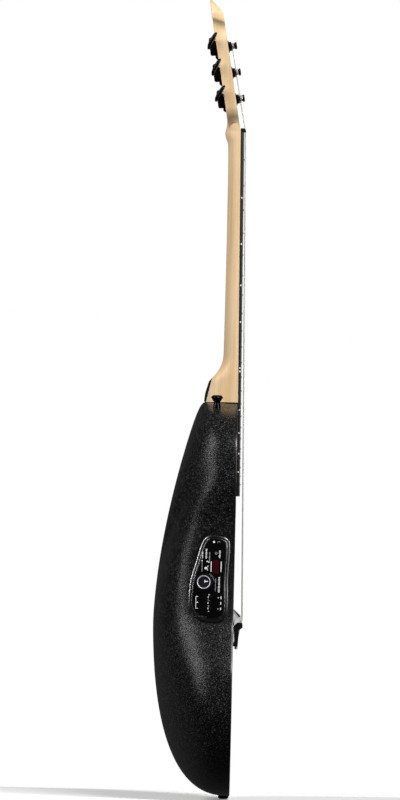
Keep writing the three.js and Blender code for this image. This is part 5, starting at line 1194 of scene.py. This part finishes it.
def string_route(i):
    """Every point of a string, from its ball to its cut end."""
    radius = STRING_DIAMETERS[i] / 2
    share = i / (string_count - 1) - 0.5
    saddle_x = share * SPREAD_AT_SADDLE
    nut_x = share * SPREAD_AT_NUT
    nut_y = BOARD_FRONT_AT_NUT - SLOT_FLOOR - radius + camber(nut_x)
    saddle_y = SADDLE_STRING_Y + camber(saddle_x) + STRING_DIAMETERS[0] / 2 - radius
    crest = Vector((nut_x, nut_y, NUT_FACE_Z + SEAT + radius))
    ball_z = BRIDGE_TAIL_Z - CLEARANCE
    return [
        Vector((saddle_x, TAIL_HOLE_Y, ball_z - BALL_LENGTH)),
        Vector((saddle_x, TAIL_HOLE_Y, ball_z)),
        Vector((saddle_x, RIDGE_HOLE_Y, RIDGE_FRONT_Z)),
        Vector((saddle_x, saddle_y + SADDLE_TURN, SADDLE_CREST_Z - SADDLE_TURN)),
        Vector((saddle_x, saddle_y, SADDLE_CREST_Z + SADDLE_TURN)),
        crest,
    ] + [to_drawing @ HEAD @ point for point in winding(i, HEAD.inverted() @ DRAWING @ crest)]


routes = [string_route(i) for i in range(string_count)]
print("points along the strings:", sum(len(route) for route in routes))

# %% [markdown]
# A curve with a round section is laid along each route and turned to a mesh. The ball is turned on
# the lathe.

# %% Lay the strings
def tube(points, radius):
    """A mesh tube along points, with closed ends, in metres."""
    curve = bpy.data.curves.new("string", "CURVE")
    curve.dimensions = "3D"
    curve.bevel_depth = radius * MM
    curve.bevel_resolution = 2
    curve.use_fill_caps = True
    spline = curve.splines.new("POLY")
    spline.points.add(len(points) - 1)
    for knot, point in zip(spline.points, points):
        knot.co = (*(DRAWING @ point), 1)
    holder = bpy.data.objects.new("string", curve)
    scene.collection.objects.link(holder)
    mesh = bpy.data.meshes.new_from_object(holder.evaluated_get(bpy.context.evaluated_depsgraph_get()))
    bpy.data.objects.remove(holder)
    return mesh


for i, route in enumerate(routes):
    number = string_count - i
    bm = bmesh.new()
    bm.from_mesh(tube(route, STRING_DIAMETERS[i] / 2))
    bmesh.ops.transform(bm, matrix=to_drawing, verts=bm.verts)
    wound = i < WOUND_COUNT
    material, slot = (wound_string, "string_bronze") if wound else (plain_string, "string_steel")
    lathe(bm, [
        (0, 0), (BALL_RADIUS * 0.8, 0), (BALL_RADIUS, 0.5), (BALL_RADIUS, BALL_LENGTH - 0.5),
        (BALL_RADIUS * 0.8, BALL_LENGTH), (0, BALL_LENGTH),
    ], route[0], steps=20)
    finish(f"string_{number}_wire", bm, material, [f"string_{number}"])
print("strings:", string_count)

# %% [markdown]
# ## Tuners
#
# Six sealed machines sit behind the head, each with the same parts. The bushing is a hexagon and a
# washer on the front. The post comes through it and turns the string.

# %% Draw a tuner's bushing and post
POST_HEIGHT = 11.6
POST_TAIL = 20
POST_CAP_RADIUS = 4.25
POST_CAP_HEIGHT = 2.5
WASHER_RADIUS = 7.7
WASHER_HEIGHT = 1.2
HEX_RADIUS = 5.7
HEX_TOP_RADIUS = 5.1


def bushing(bm):
    """Washer and hexagon on the head's face."""
    lathe(bm, [
        (POST_RADIUS + 0.4, 0), (WASHER_RADIUS, 0), (WASHER_RADIUS, WASHER_HEIGHT * 0.6),
        (WASHER_RADIUS - 0.6, WASHER_HEIGHT), (POST_RADIUS + 0.4, WASHER_HEIGHT), (POST_RADIUS + 0.4, 0),
    ], (0, 0, 0), (0, -1, 0))
    nut = bmesh.new()
    lathe(nut, [
        (0, 0), (HEX_RADIUS, 0), (HEX_RADIUS, HEX_HEIGHT - WASHER_HEIGHT - 0.6),
        (HEX_TOP_RADIUS, HEX_HEIGHT - WASHER_HEIGHT), (0, HEX_HEIGHT - WASHER_HEIGHT),
    ], (0, -WASHER_HEIGHT, 0), (0, -1, 0), (0, 0, 1), 6)
    soften(nut, 0.25, angle=20)
    held = bpy.data.meshes.new("nut")
    nut.to_mesh(held)
    nut.free()
    bm.from_mesh(held)


def post(bm):
    """The post and its rounded cap."""
    lathe(bm, [
        (0, -POST_TAIL), (POST_RADIUS, -POST_TAIL), (POST_RADIUS, POST_HEIGHT - POST_CAP_HEIGHT - 0.6),
        (POST_CAP_RADIUS, POST_HEIGHT - POST_CAP_HEIGHT), (POST_CAP_RADIUS, POST_HEIGHT - 0.9),
        (POST_CAP_RADIUS - 0.3, POST_HEIGHT - 0.3), (POST_CAP_RADIUS - 1, POST_HEIGHT), (1.2, POST_HEIGHT),
        (1, POST_HEIGHT - 1), (0, POST_HEIGHT - 1),
    ], (0, 0, 0), (0, -1, 0), steps=32)


print("post stands out in mm:", POST_HEIGHT)

# %% [markdown]
# The housing hides a worm and a gear. It is a base plate with one ear for its screw, and over it a
# cover whose side view is drawn as a smooth outline and whose edges are rounded over.

# %% Draw a tuner's housing
HOUSING_BACK = HEAD_THICKNESS + SEAT
PLATE_THICKNESS = 2
PLATE_LENGTH = 17
PLATE_WIDTH = 16
EAR_LENGTH = 5.5
EAR_RADIUS = 3.4
COVER_DEPTH = 7.1
COVER_LENGTH = 16.2
COVER_WIDTH = 15.4
COVER_EDGE = [(2, 0), (1.2, 0.3), (0.6, 0.8), (0.15, 1.6), (0, 2.4)]
HOUSING_SHIFT = -0.3
WORM_Y = HOUSING_BACK + PLATE_THICKNESS + COVER_DEPTH / 2 - 0.8
WORM_Z = 11
SHAFT_RADIUS = 1.7


def housing(bm, side):
    """Base plate with its ear, rounded cover, the shaft's collar and the screw."""
    low = HOUSING_SHIFT - PLATE_LENGTH / 2
    plate = [
        (-PLATE_WIDTH / 2, low), (-EAR_RADIUS, low), (-EAR_RADIUS * 0.9, low - EAR_LENGTH * 0.6),
        (-EAR_RADIUS * 0.5, low - EAR_LENGTH), (EAR_RADIUS * 0.5, low - EAR_LENGTH),
        (EAR_RADIUS * 0.9, low - EAR_LENGTH * 0.6), (EAR_RADIUS, low), (PLATE_WIDTH / 2, low),
        (PLATE_WIDTH / 2, low + PLATE_LENGTH), (-PLATE_WIDTH / 2, low + PLATE_LENGTH),
    ]
    press(bm, [Vector((x, HOUSING_BACK, z)) for x, z in plate], (0, PLATE_THICKNESS, 0))
    soften(bm, 0.4, angle=50)
    first = HOUSING_SHIFT - COVER_LENGTH / 2
    last = HOUSING_SHIFT + COVER_LENGTH / 2
    deep = HOUSING_BACK + PLATE_THICKNESS + COVER_DEPTH
    outline = smooth_curve([Vector((0, y, z)) for y, z in (
        (HOUSING_BACK, first), (deep - 4, first), (deep - 2.2, first + 0.1), (deep - 0.6, first + 0.8),
        (deep, first + 2.4), (deep, first + 6), (deep, WORM_Z - 2), (deep - 0.1, WORM_Z + 1),
        (deep - 0.9, WORM_Z + 2.9), (deep - 2.6, WORM_Z + 3.6), (WORM_Y - 1.2, WORM_Z + 3.5),
        (HOUSING_BACK + 1.2, last + 2.6), (HOUSING_BACK, last),
    )], 0.8)
    rims = [(-COVER_WIDTH / 2 + into, step) for step, into in COVER_EDGE]
    rims += [(-x, step) for x, step in reversed(rims)]
    loft(bm, [[Vector((x, p.y, p.z)) for p in inset(outline, step)] for x, step in rims])
    lathe(bm, [
        (0, 0), (SHAFT_RADIUS + 1.3, 0), (SHAFT_RADIUS + 1.3, COVER_WIDTH / 2 + 2.4),
        (SHAFT_RADIUS + 0.9, COVER_WIDTH / 2 + 3), (0, COVER_WIDTH / 2 + 3),
    ], (0, WORM_Y, WORM_Z), (side, 0, 0), (0, 0, 1), 28)
    lathe(bm, [(0, 1.3), (1.2, 1.2), (2, 0.8), (2.3, 0), (0, 0)], (
        0, HOUSING_BACK + PLATE_THICKNESS, low - EAR_LENGTH * 0.35,
    ), (0, 1, 0), steps=24)


print("worm's middle in mm:", round(WORM_Y, 2), WORM_Z)

# %% [markdown]
# The button is thin where its shaft goes into the housing and wide toward its rim, and its faces are
# slightly bowed. Its sections are rounder than a box and squarer than an ellipse.

# %% Draw a tuner's button
BUTTON_GAP = 7
BUTTON_REACH = 15
BUTTON_SPAN = 23
BUTTON_THICKNESS = 5.2
BUTTON_SAG = 0.6
BUTTON_SHARES = [
    (0, 0.1, 0.4), (0.04, 0.24, 0.62), (0.1, 0.34, 0.8), (0.2, 0.41, 0.92), (0.4, 0.47, 1), (0.62, 0.5, 1),
    (0.8, 0.46, 0.98), (0.9, 0.4, 0.88), (0.96, 0.33, 0.66), (1, 0.22, 0.3),
]
BUTTON_POWER = 3
BUTTON_STEPS = 48


def button(bm, side, turn):
    """The shaft and the bowed button that the fingers turn."""
    out = COVER_WIDTH / 2 + BUTTON_GAP
    shares = smooth_curve([Vector(share) for share in BUTTON_SHARES], 0.05, closed=False)
    rings = []
    for reach, span, thick in shares:
        points = []
        for s in range(BUTTON_STEPS):
            angle = math.tau * s / BUTTON_STEPS
            wide, flat = (
                math.copysign(abs(value) ** (2 / BUTTON_POWER), value)
                for value in (math.sin(angle), math.cos(angle))
            )
            bow = BUTTON_SAG * (2 * span * wide) ** 2
            y = flat * thick * BUTTON_THICKNESS / 2 - bow
            points.append(Vector((reach * BUTTON_REACH, y, wide * span * BUTTON_SPAN)))
        rings.append(points)
    loft(bm, rings)
    turned = Matrix.Translation((side * out, WORM_Y, WORM_Z)) @ Matrix.Rotation(turn, 4, "X")
    bmesh.ops.transform(bm, matrix=turned @ Matrix.Diagonal((side, 1, 1, 1)), verts=bm.verts)
    shaft = rod(SHAFT_RADIUS, 0.5, out + BUTTON_REACH / 2)
    lathe(bm, shaft, (0, WORM_Y, WORM_Z), (side, 0, 0), (0, 0, 1), 24)


print("button in mm:", BUTTON_SPAN, "by", BUTTON_REACH)

# %% [markdown]
# Three tuners stand on each side of the head. Their buttons are turned a little differently, as a
# player leaves them. The post and the button ride on bodies of their own, because both turn.

# %% Build the six tuners
BUTTON_TURNS = [40, 36, 37]

for i in range(string_count):
    number = string_count - i
    side, post_x, along = post_place(i)
    row = i if side < 0 else string_count - 1 - i
    here = HEAD @ Matrix.Translation((post_x, 0, along))
    parts = {
        "bushing": (bushing,), "housing": (housing, side), "post": (post,),
        "button": (button, side, math.radians(BUTTON_TURNS[row])),
    }
    for part, (draw, *values) in parts.items():
        bm = bmesh.new()
        draw(bm, *values)
        node = f"tuner_{part}_{number}"
        body = node if part in ("post", "button") else "guitar"
        finish(f"{part}_{number}", bm, black_plating, [node], body=body, place=here)
print("tuners:", string_count)

# %% [markdown]
# ## Strap button and end pin
#
# Both are turned on a lathe. The strap button stands on the bass shoulder, held by a screw with a
# cross in its head. The end pin is hollow: it is the socket for the cable, and its cap carries the
# other end of the strap.

# %% Turn the strap button and the end pin
STRAP_PLACE = (-58, 27.4, BODY_TOP_Z + 9.4)
STRAP_PROFILE = [
    (0, -21), (5, -21), (5, -13.2), (4.7, -12.2), (4.1, -11), (3.9, -10), (4.2, -9), (5.2, -7.4),
    (7.3, -4.2), (7.8, -3.5), (7.9, -3), (7.6, -2.3), (6.4, -1.1), (5.2, -0.3), (4.4, 0), (3, -0.1),
    (2.8, -0.6), (0, -0.6),
]
SCREW_PROFILE = [(0, -0.8), (2.8, -0.8), (2.6, -0.3), (1.6, 0), (0, 0)]
JACK_PLACE = (0, END_PIN_Y, 0)
CAP_PROFILE = [
    (3.3, 0), (4.6, 0), (5.6, 0.5), (6.6, 1.5), (7, 2.6), (7, 4.4), (6.7, 4.9), (4.4, 4.9), (4.4, 1.2),
    (3.3, 1.2), (3.3, 0),
]
BARREL_PROFILE = [
    (3.3, 1.25), (4.1, 1.25), (4.1, 4.95), (4.7, 4.95), (4.7, 48), (3.3, 48), (3.3, 1.25),
]


def groove_across(bm):
    """One groove in the screw's head."""
    block(bm, (-1.5, -0.3, -0.5), (1.5, 0.3, 0.5))


def groove_along(bm):
    """The groove that crosses it."""
    block(bm, (-0.3, -1.5, -0.4), (0.3, 1.5, 0.6))


def turned(name, profile, place, steps, material, slot, *nodes):
    """A piece that is turned in one go."""
    bm = bmesh.new()
    lathe(bm, profile, place, steps=steps)
    return finish(name, bm, material, nodes)


turned("strap_button_metal", STRAP_PROFILE, STRAP_PLACE, 48, black_plating, "black_metal", "strap_button")
screw = turned("strap_button_screw", SCREW_PROFILE, STRAP_PLACE, 32, nickel, "jack_metal")
carve(screw, groove_across, groove_along, place=DRAWING @ Matrix.Translation(STRAP_PLACE))
turned("end_pin_cap_metal", CAP_PROFILE, JACK_PLACE, 48, black_plating, "black_metal", "end_pin_cap")
turned("end_pin_barrel", BARREL_PROFILE, JACK_PLACE, 40, nickel, "jack_metal", "end_pin_jack")
print("strap button at", STRAP_PLACE)

# %% [markdown]
# ## Preamp panel
#
# The panel leans with the bowl's wall, so it has its own directions: x points into the body, y toward
# the back and z up. Its outline is a tall rounded shape, narrow at the top. The bowl is opened for it
# and bored for the end pin.

# %% Draw the panel and open the bowl for it
PANEL_HALF_WIDTH = 26.2
PANEL_HALF_HEIGHT = 58
PANEL_SHARES = [
    (-0.71, 0.955), (-0.3, 1), (0.08, 0.985), (0.32, 0.91), (0.45, 0.80), (0.70, 0.39), (0.94, -0.02),
    (1, -0.475), (0.955, -0.61), (0.78, -0.77), (0.43, -0.905), (0, -0.965), (-0.46, -0.965),
    (-0.755, -0.90), (-0.93, -0.745), (-0.935, 0.04), (-0.98, 0.77), (-0.92, 0.89),
]
PANEL_FRONT = -2.5
BEZEL_BAND = 5
COLLAR_WALL = 2
COLLAR_DEPTH = 20
SKIRT_DEPTH = 14
JACK_HOLE_RADIUS = 5
PANEL_CENTRE = (-139.5, 32.3, 288.5)
PANEL_TURN = math.radians(-7)
PANEL_LEAN = math.radians(6)
PANEL_TILT = Matrix.Rotation(PANEL_TURN, 4, "Z") @ Matrix.Rotation(PANEL_LEAN, 4, "Y")
PANEL = DRAWING @ Matrix.Translation(PANEL_CENTRE) @ PANEL_TILT
corners = [Vector((0, y * PANEL_HALF_WIDTH, z * PANEL_HALF_HEIGHT)) for y, z in PANEL_SHARES]
PANEL_OUTLINE = smooth_curve(corners, 1.5)


def panel_loop(step, x):
    """The panel's outline moved inward by a step, at depth x."""
    return [Vector((x, point.y, point.z)) for point in inset(PANEL_OUTLINE, step)]


def window_cut(bm):
    """What is sawn out of the wall for the panel."""
    press(bm, panel_loop(BEZEL_BAND - COLLAR_WALL - CLEARANCE, -20), (60, 0, 0))


def jack_cut(bm):
    """The hole for the end pin's barrel."""
    lathe(bm, rod(JACK_HOLE_RADIUS, -20, 30), JACK_PLACE)


carve(bowl, window_cut, place=PANEL)
carve(bowl, jack_cut)
print("faces on the opened bowl:", len(bowl.data.polygons))

# %% [markdown]
# The bezel is lofted as a hoop with two flat bands between chamfers, because the chamfers catch the
# light as thin lines. Behind it a skirt and a collar reach into the opening.

# %% Model the bezel
BEZEL_SECTION = [
    (0, 2.2), (0.3, 1.2), (1.9, 0.37), (2.2, 0.3), (3, 0.3), (3.1, 1), (3.5, 1), (3.6, 0.9), (4.5, 0.43),
    (4.8, 0.4), (4.9, 0.6), (BEZEL_BAND, 1.1),
]
BEZEL_STEPS = [(0, SKIRT_DEPTH)] + [(step, PANEL_FRONT + fall) for step, fall in BEZEL_SECTION] + [
    (BEZEL_BAND, COLLAR_DEPTH), (BEZEL_BAND - COLLAR_WALL, COLLAR_DEPTH),
    (BEZEL_BAND - COLLAR_WALL, SKIRT_DEPTH),
]
SOCKET_LOW = (17, -2, -50.5)
SOCKET_HIGH = (26, 8, -41.5)

bm = bmesh.new()
loft(bm, [panel_loop(step, x) for step, x in BEZEL_STEPS], "joined")
block(bm, SOCKET_LOW, SOCKET_HIGH)
finish("preamp_bezel", bm, gloss_abs, ["preamp_frame"], place=PANEL)
print("bezel band in mm:", BEZEL_BAND)

# %% [markdown]
# The pod is the preamp itself: a lid with the controls, and a box behind it that holds the circuit
# and the battery. It hangs on two pins at its lower edge and swings out for a battery change. The
# lid's recess, slots and holes are cut with Boolean modifiers, as a mould's slides would leave them.

# %% Model the pod
POD_GAP = 0.4
POD_PLATE = 3
POD_AXIS_Z = -48.57
POD_EDGE_Z = -49.97
POD_BOX_LOW = (-1, -17.5, -34.57)
POD_BOX_HIGH = (31, 11, 23.43)
BATTERY_ROOM_LOW = (13.2, -16.8, -28.87)
BATTERY_ROOM_HIGH = (33, 10.3, 20.23)
KNOB_Y, KNOB_Z = 6.4, -4.2
SLIDER_ZS = [-23.6, -30.9, -38.2]
SLIDER_TRAVEL = 9.6
DISPLAY_Y, DISPLAY_Z = -8.3, 16.6
DISPLAY_HALF_WIDTH, DISPLAY_HALF_HEIGHT = 3.7, 8.7
DISPLAY_THICKNESS = 1.2
SWITCH_Y, SWITCH_Z = 5, 14.4
LATCH_Y, LATCH_Z = -11.2, 46.4


def pod_loop(x):
    """The lid's outline, drawn in a little more near the hinge."""
    loop = []
    for wide, slim in zip(panel_loop(BEZEL_BAND + POD_GAP, x), panel_loop(BEZEL_BAND + POD_GAP + 1, x)):
        near_hinge = smooth_step(-wide.z, 42, 46)
        point = wide.lerp(slim, near_hinge)
        point.z = max(point.z, POD_EDGE_Z)
        loop.append(point)
    return loop


def circuit_box(bm):
    """The box behind the lid."""
    block(bm, POD_BOX_LOW, POD_BOX_HIGH)


def control_cuts(bm):
    """Slots and holes for the controls."""
    for z in SLIDER_ZS:
        block(bm, (-10, -SLIDER_TRAVEL - 1.7, z - 1.1), (2.9, SLIDER_TRAVEL + 1.7, z + 1.1))
    for y, z, radius, depth in (
        (KNOB_Y, KNOB_Z, 3.4, 4.9), (SWITCH_Y, SWITCH_Z, 2.2, 1.1), (LATCH_Y, LATCH_Z, 3.1, 1.1),
    ):
        lathe(bm, rod(radius, -10, depth), (0, y, z), (1, 0, 0), (0, 0, 1), 32)


def display_cut(bm, front=-10, gap=CLEARANCE):
    """The recess that the display's lens lies in, or the lens itself."""
    half_width = DISPLAY_HALF_WIDTH + gap
    half_height = DISPLAY_HALF_HEIGHT + gap
    back = PANEL_FRONT + DISPLAY_THICKNESS
    block(
        bm, (front, DISPLAY_Y - half_width, DISPLAY_Z - half_height),
        (back, DISPLAY_Y + half_width, DISPLAY_Z + half_height),
    )


def battery_cut(bm):
    """The battery's room in the back of the box."""
    block(bm, BATTERY_ROOM_LOW, BATTERY_ROOM_HIGH)


bm = bmesh.new()
press(bm, pod_loop(PANEL_FRONT), (POD_PLATE, 0, 0))
soften(bm, 0.6, angle=60, segments=3)
pod = finish("preamp_pod_case", bm, satin_abs, ["preamp_pod"], body="pod", place=PANEL)
carve(pod, circuit_box, place=PANEL, operation="UNION")
carve(pod, control_cuts, display_cut, battery_cut, place=PANEL)
bm = bmesh.new()
lathe(bm, rod(1, -16.5, 16.5), (-1, 0, POD_AXIS_Z), (0, 1, 0), steps=20)
finish("pod_hinge_pin", bm, rod_steel, body="pod", place=PANEL)
print("faces on the pod:", len(pod.data.polygons))

# %% [markdown]
# The volume knob is fluted for the fingers. It stands on a thin flange and carries a bright ring in
# its rim and a white pointer.

# %% Model the volume knob
KNOB_FLUTES = 20
KNOB_STEPS = KNOB_FLUTES * 6
FLUTE_HALF_DEPTH = 0.18
KNOB_LEVELS = [(0.4, 9.4), (4.6, 9), (5.1, 8.8), (5.15, 7.8), (5.2, 7.4), (5.05, 6.9)]
FLANGE_PROFILE = [(9, 0.4), (10.75, 0.4), (10.75, 1), (10.3, 1.5), (9, 1.6), (9, 0.4)]
RING_PROFILE = [
    (7.7, 5), (8.75, 5), (8.75, 5.3), (8.55, 5.65), (8.2, 5.75), (7.9, 5.6), (7.7, 5.3), (7.7, 5),
]
# Each bar of the pointer is two corners in y and z, counted from the knob's middle.
POINTER_BARS = [(-5.6, 0.4, -1.4, 1.6), (-1.8, -0.8, -0.9, 2.8)]
POINTER_BASE = 5
POINTER_TOP = 5.35


def turn_on_lid(bm, profile, y, z, steps=24):
    """Turn a profile round an axis that stands out of the lid's face."""
    lathe(bm, profile, (PANEL_FRONT, y, z), (-1, 0, 0), (0, 0, 1), steps)


def fluted(height, radius):
    """A ring of the knob, with shallow flutes."""
    points = []
    for s in range(KNOB_STEPS):
        angle = math.tau * s / KNOB_STEPS
        reach = radius - FLUTE_HALF_DEPTH * (1 + math.cos(angle * KNOB_FLUTES))
        points.append(Vector((
            PANEL_FRONT - height, KNOB_Y + reach * math.cos(angle), KNOB_Z + reach * math.sin(angle),
        )))
    return points


bm = bmesh.new()
loft(bm, [fluted(height, radius) for height, radius in KNOB_LEVELS])
turn_on_lid(bm, rod(3, 2, -7), KNOB_Y, KNOB_Z)
turn_on_lid(bm, FLANGE_PROFILE, KNOB_Y, KNOB_Z, 64)
finish("volume_knob_cap", bm, knob_abs, ["volume_knob"], body="volume_knob", place=PANEL)
bm = bmesh.new()
# The ring's pale colour is partly painted shine.
turn_on_lid(bm, RING_PROFILE, KNOB_Y, KNOB_Z, 64)
finish("volume_knob_ring", bm, chrome_with_painted_shine, body="volume_knob", place=PANEL)
bm = bmesh.new()
for y_low, z_low, y_high, z_high in POINTER_BARS:
    low = (PANEL_FRONT - POINTER_TOP, KNOB_Y + y_low, KNOB_Z + z_low)
    block(bm, low, (PANEL_FRONT - POINTER_BASE, KNOB_Y + y_high, KNOB_Z + z_high))
soften(bm, 0.1)
finish("volume_knob_pointer", bm, white_ink, body="volume_knob", place=PANEL)
print("flutes on the knob:", KNOB_FLUTES)

# %% [markdown]
# Three sliders, two push buttons and the display complete the panel. Each control rides on its own
# body, because each moves.

# %% Model the sliders, the buttons and the display
CAP_HALF_LENGTH = 4
CAP_HALF_WIDTH = 1.8
CAP_BASE = PANEL_FRONT - 0.4
CAP_TOP = CAP_BASE - 3.4
for name, z in zip(("bass", "mid", "treble"), SLIDER_ZS):
    bm = bmesh.new()
    loft(bm, [
        [Vector((x, sy * CAP_HALF_LENGTH * share, z + sz * CAP_HALF_WIDTH * taper))
         for sy, sz in ((-1, -1), (1, -1), (1, 1), (-1, 1))]
        for x, share, taper in ((CAP_BASE, 1, 1), (CAP_TOP, 0.6, 0.8))
    ])
    soften(bm, 0.35, angle=30)
    block(bm, (CAP_BASE - 1, -1.3, z - 0.7), (PANEL_FRONT + 5, 1.3, z + 0.7))
    finish(
        f"slider_{name}_cap", bm, satin_abs, [f"eq_slider_{name}"],
        body=f"eq_{name}", place=PANEL,
    )
    bm = bmesh.new()
    block(bm, (CAP_TOP - 0.02, -0.35, z - 1.2), (CAP_TOP + 0.2, 0.35, z + 1.2))
    finish(f"slider_{name}_line", bm, white_ink, body=f"eq_{name}", place=PANEL)

for name, y, z, radius, material, slot in (
    ("tuner_switch", SWITCH_Y, SWITCH_Z, 1.8, white_urea, "white_plastic"),
    ("pod_latch", LATCH_Y, LATCH_Z, 2.7, satin_abs, "black_plastic"),
):
    bm = bmesh.new()
    dome = [(0, 1.5), (radius * 0.6, 1.4), (radius * 0.9, 1.1), (radius, 0.6), (radius, -2.2), (0, -2.2)]
    turn_on_lid(bm, dome, y, z, 32)
    finish(f"{name}_button", bm, material, [name], body=name, place=PANEL)

bm = bmesh.new()
display_cut(bm, PANEL_FRONT, 0)
soften(bm, 0.2)
finish("display_lens", bm, red_lens, ["display_window"], body="pod", place=PANEL)
print("controls are in place")

# %% [markdown]
# The marks on the lid are printed. They are thin strips of white ink, here 0.06 mm thick: ticks
# beside the sliders and the knob, and short bars where the small scales stand.

# %% Print the marks
INK = 0.06
WHITE_BARS = [
    (-1.9, 16.8, 0.5, 6.8), (-15, 16.8, 0.5, 6.8), (-16.2, -23.6, 0.5, 1.8), (-16.2, -30.9, 0.5, 1.8),
    (-16.2, -38.2, 0.5, 1.8), (16.6, -30.3, 0.3, 8), (15.2, -22.4, 1.4, 0.35), (15.2, -38.2, 1.4, 0.35),
    (15, -30.3, 1.5, 0.5), (2.5, 17.1, 0.4, 1.2), (2.5, 12.8, 0.4, 1.4), (-12.6, -23.6, 0.5, 0.5),
    (-12.6, -38.2, 0.5, 0.5), (10.2, 24.2, 0.7, 0.7), (3.4, 23.4, 0.8, 0.8), (1.2, 22.6, 0.7, 0.9),
]
CROSS_ZS = [-20, -27.25, -34.55, -41.8]
# Each scale is where it stands, how far it runs, the half width of its ticks and its ink.
SCALES = [
    (9.8, 27.8, 35.4, 0.8, white_ink), (10, 10.6, 20.4, 0.5, grey_ink), (4.9, 27.3, 39.4, 1.1, white_ink),
    (0.6, 22.7, 34.8, 0.7, grey_ink), (-12.7, 28.7, 37, 1.1, white_ink), (-13, -16.7, 2.3, 1.2, white_ink),
    (-8.4, -14.5, 0, 0.6, grey_ink),
]
TICK_PITCH = 1.5
TICK_HALF = 0.4
MINOR_TICK_SHARE = 0.55
KNOB_TICK_RADIUS = 13
KNOB_TICKS = 7
KNOB_TICK_FIRST = 10
KNOB_TICK_STEP = 8
RING_MARK_WIDTH = 0.4
RING_MARKS = [(-8, 34.3, 1.5), (-10.9, 48.2, 1.9)]


def print_bar(bm, y, z, half_width, half_height):
    """One printed bar on the lid's face."""
    block(
        bm,
        (PANEL_FRONT - INK, y - half_width, z - half_height),
        (PANEL_FRONT + INK, y + half_width, z + half_height),
    )


white_marks = bmesh.new()
grey_marks = bmesh.new()
for bar in WHITE_BARS:
    print_bar(white_marks, *bar)
for z in CROSS_ZS:
    print_bar(white_marks, -0.4, z, 1.1, 0.25)
    print_bar(white_marks, -0.4, z, 0.25, 1.1)
for step in range(KNOB_TICKS):
    angle = math.radians(KNOB_TICK_FIRST + KNOB_TICK_STEP * step)
    y = KNOB_Y - KNOB_TICK_RADIUS * math.cos(angle)
    print_bar(grey_marks, y, KNOB_Z + KNOB_TICK_RADIUS * math.sin(angle), TICK_HALF, TICK_HALF)
for y, low, high, half, ink in SCALES:
    for step in range(round((high - low) / TICK_PITCH) + 1):
        width = half if step % 3 else half * MINOR_TICK_SHARE
        sheet = white_marks if ink == white_ink else grey_marks
        print_bar(sheet, y, low + step * TICK_PITCH, width, TICK_HALF)
for y, z, radius in RING_MARKS:
    turn_on_lid(grey_marks, hoop(radius, radius - RING_MARK_WIDTH, 0.1, -0.1), y, z)
turn_on_lid(white_marks, rod(1.3, 0.1, -0.1), -4.6, 49)
finish("panel_white_marks", white_marks, white_ink, body="pod", place=PANEL)
finish("panel_grey_marks", grey_marks, grey_ink, body="pod", place=PANEL)
print("printed bars:", len(WHITE_BARS))

# %% [markdown]
# ## Inside
#
# The blocks, bars, rod, pickup, leads and battery keep their ready-made shapes, because they are
# plain parts that are seen only through the sound holes. Each still gets the look of what it is.

# %% Paint the parts inside
INSIDE = {
    "neck_block": block_wood, "tail_block": block_wood, "x_brace_bass": bare_spruce,
    "x_brace_treble": bare_spruce, "upper_brace": bare_spruce, "truss_rod": rod_steel,
    "saddle_pickup": lead_jacket, "jack_lead": lead_jacket, "battery": battery_tin,
}
for name, material in INSIDE.items():
    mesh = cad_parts[name].data
    for index in range(len(mesh.materials)):
        mesh.materials[index] = material
print("parts inside:", len(INSIDE))
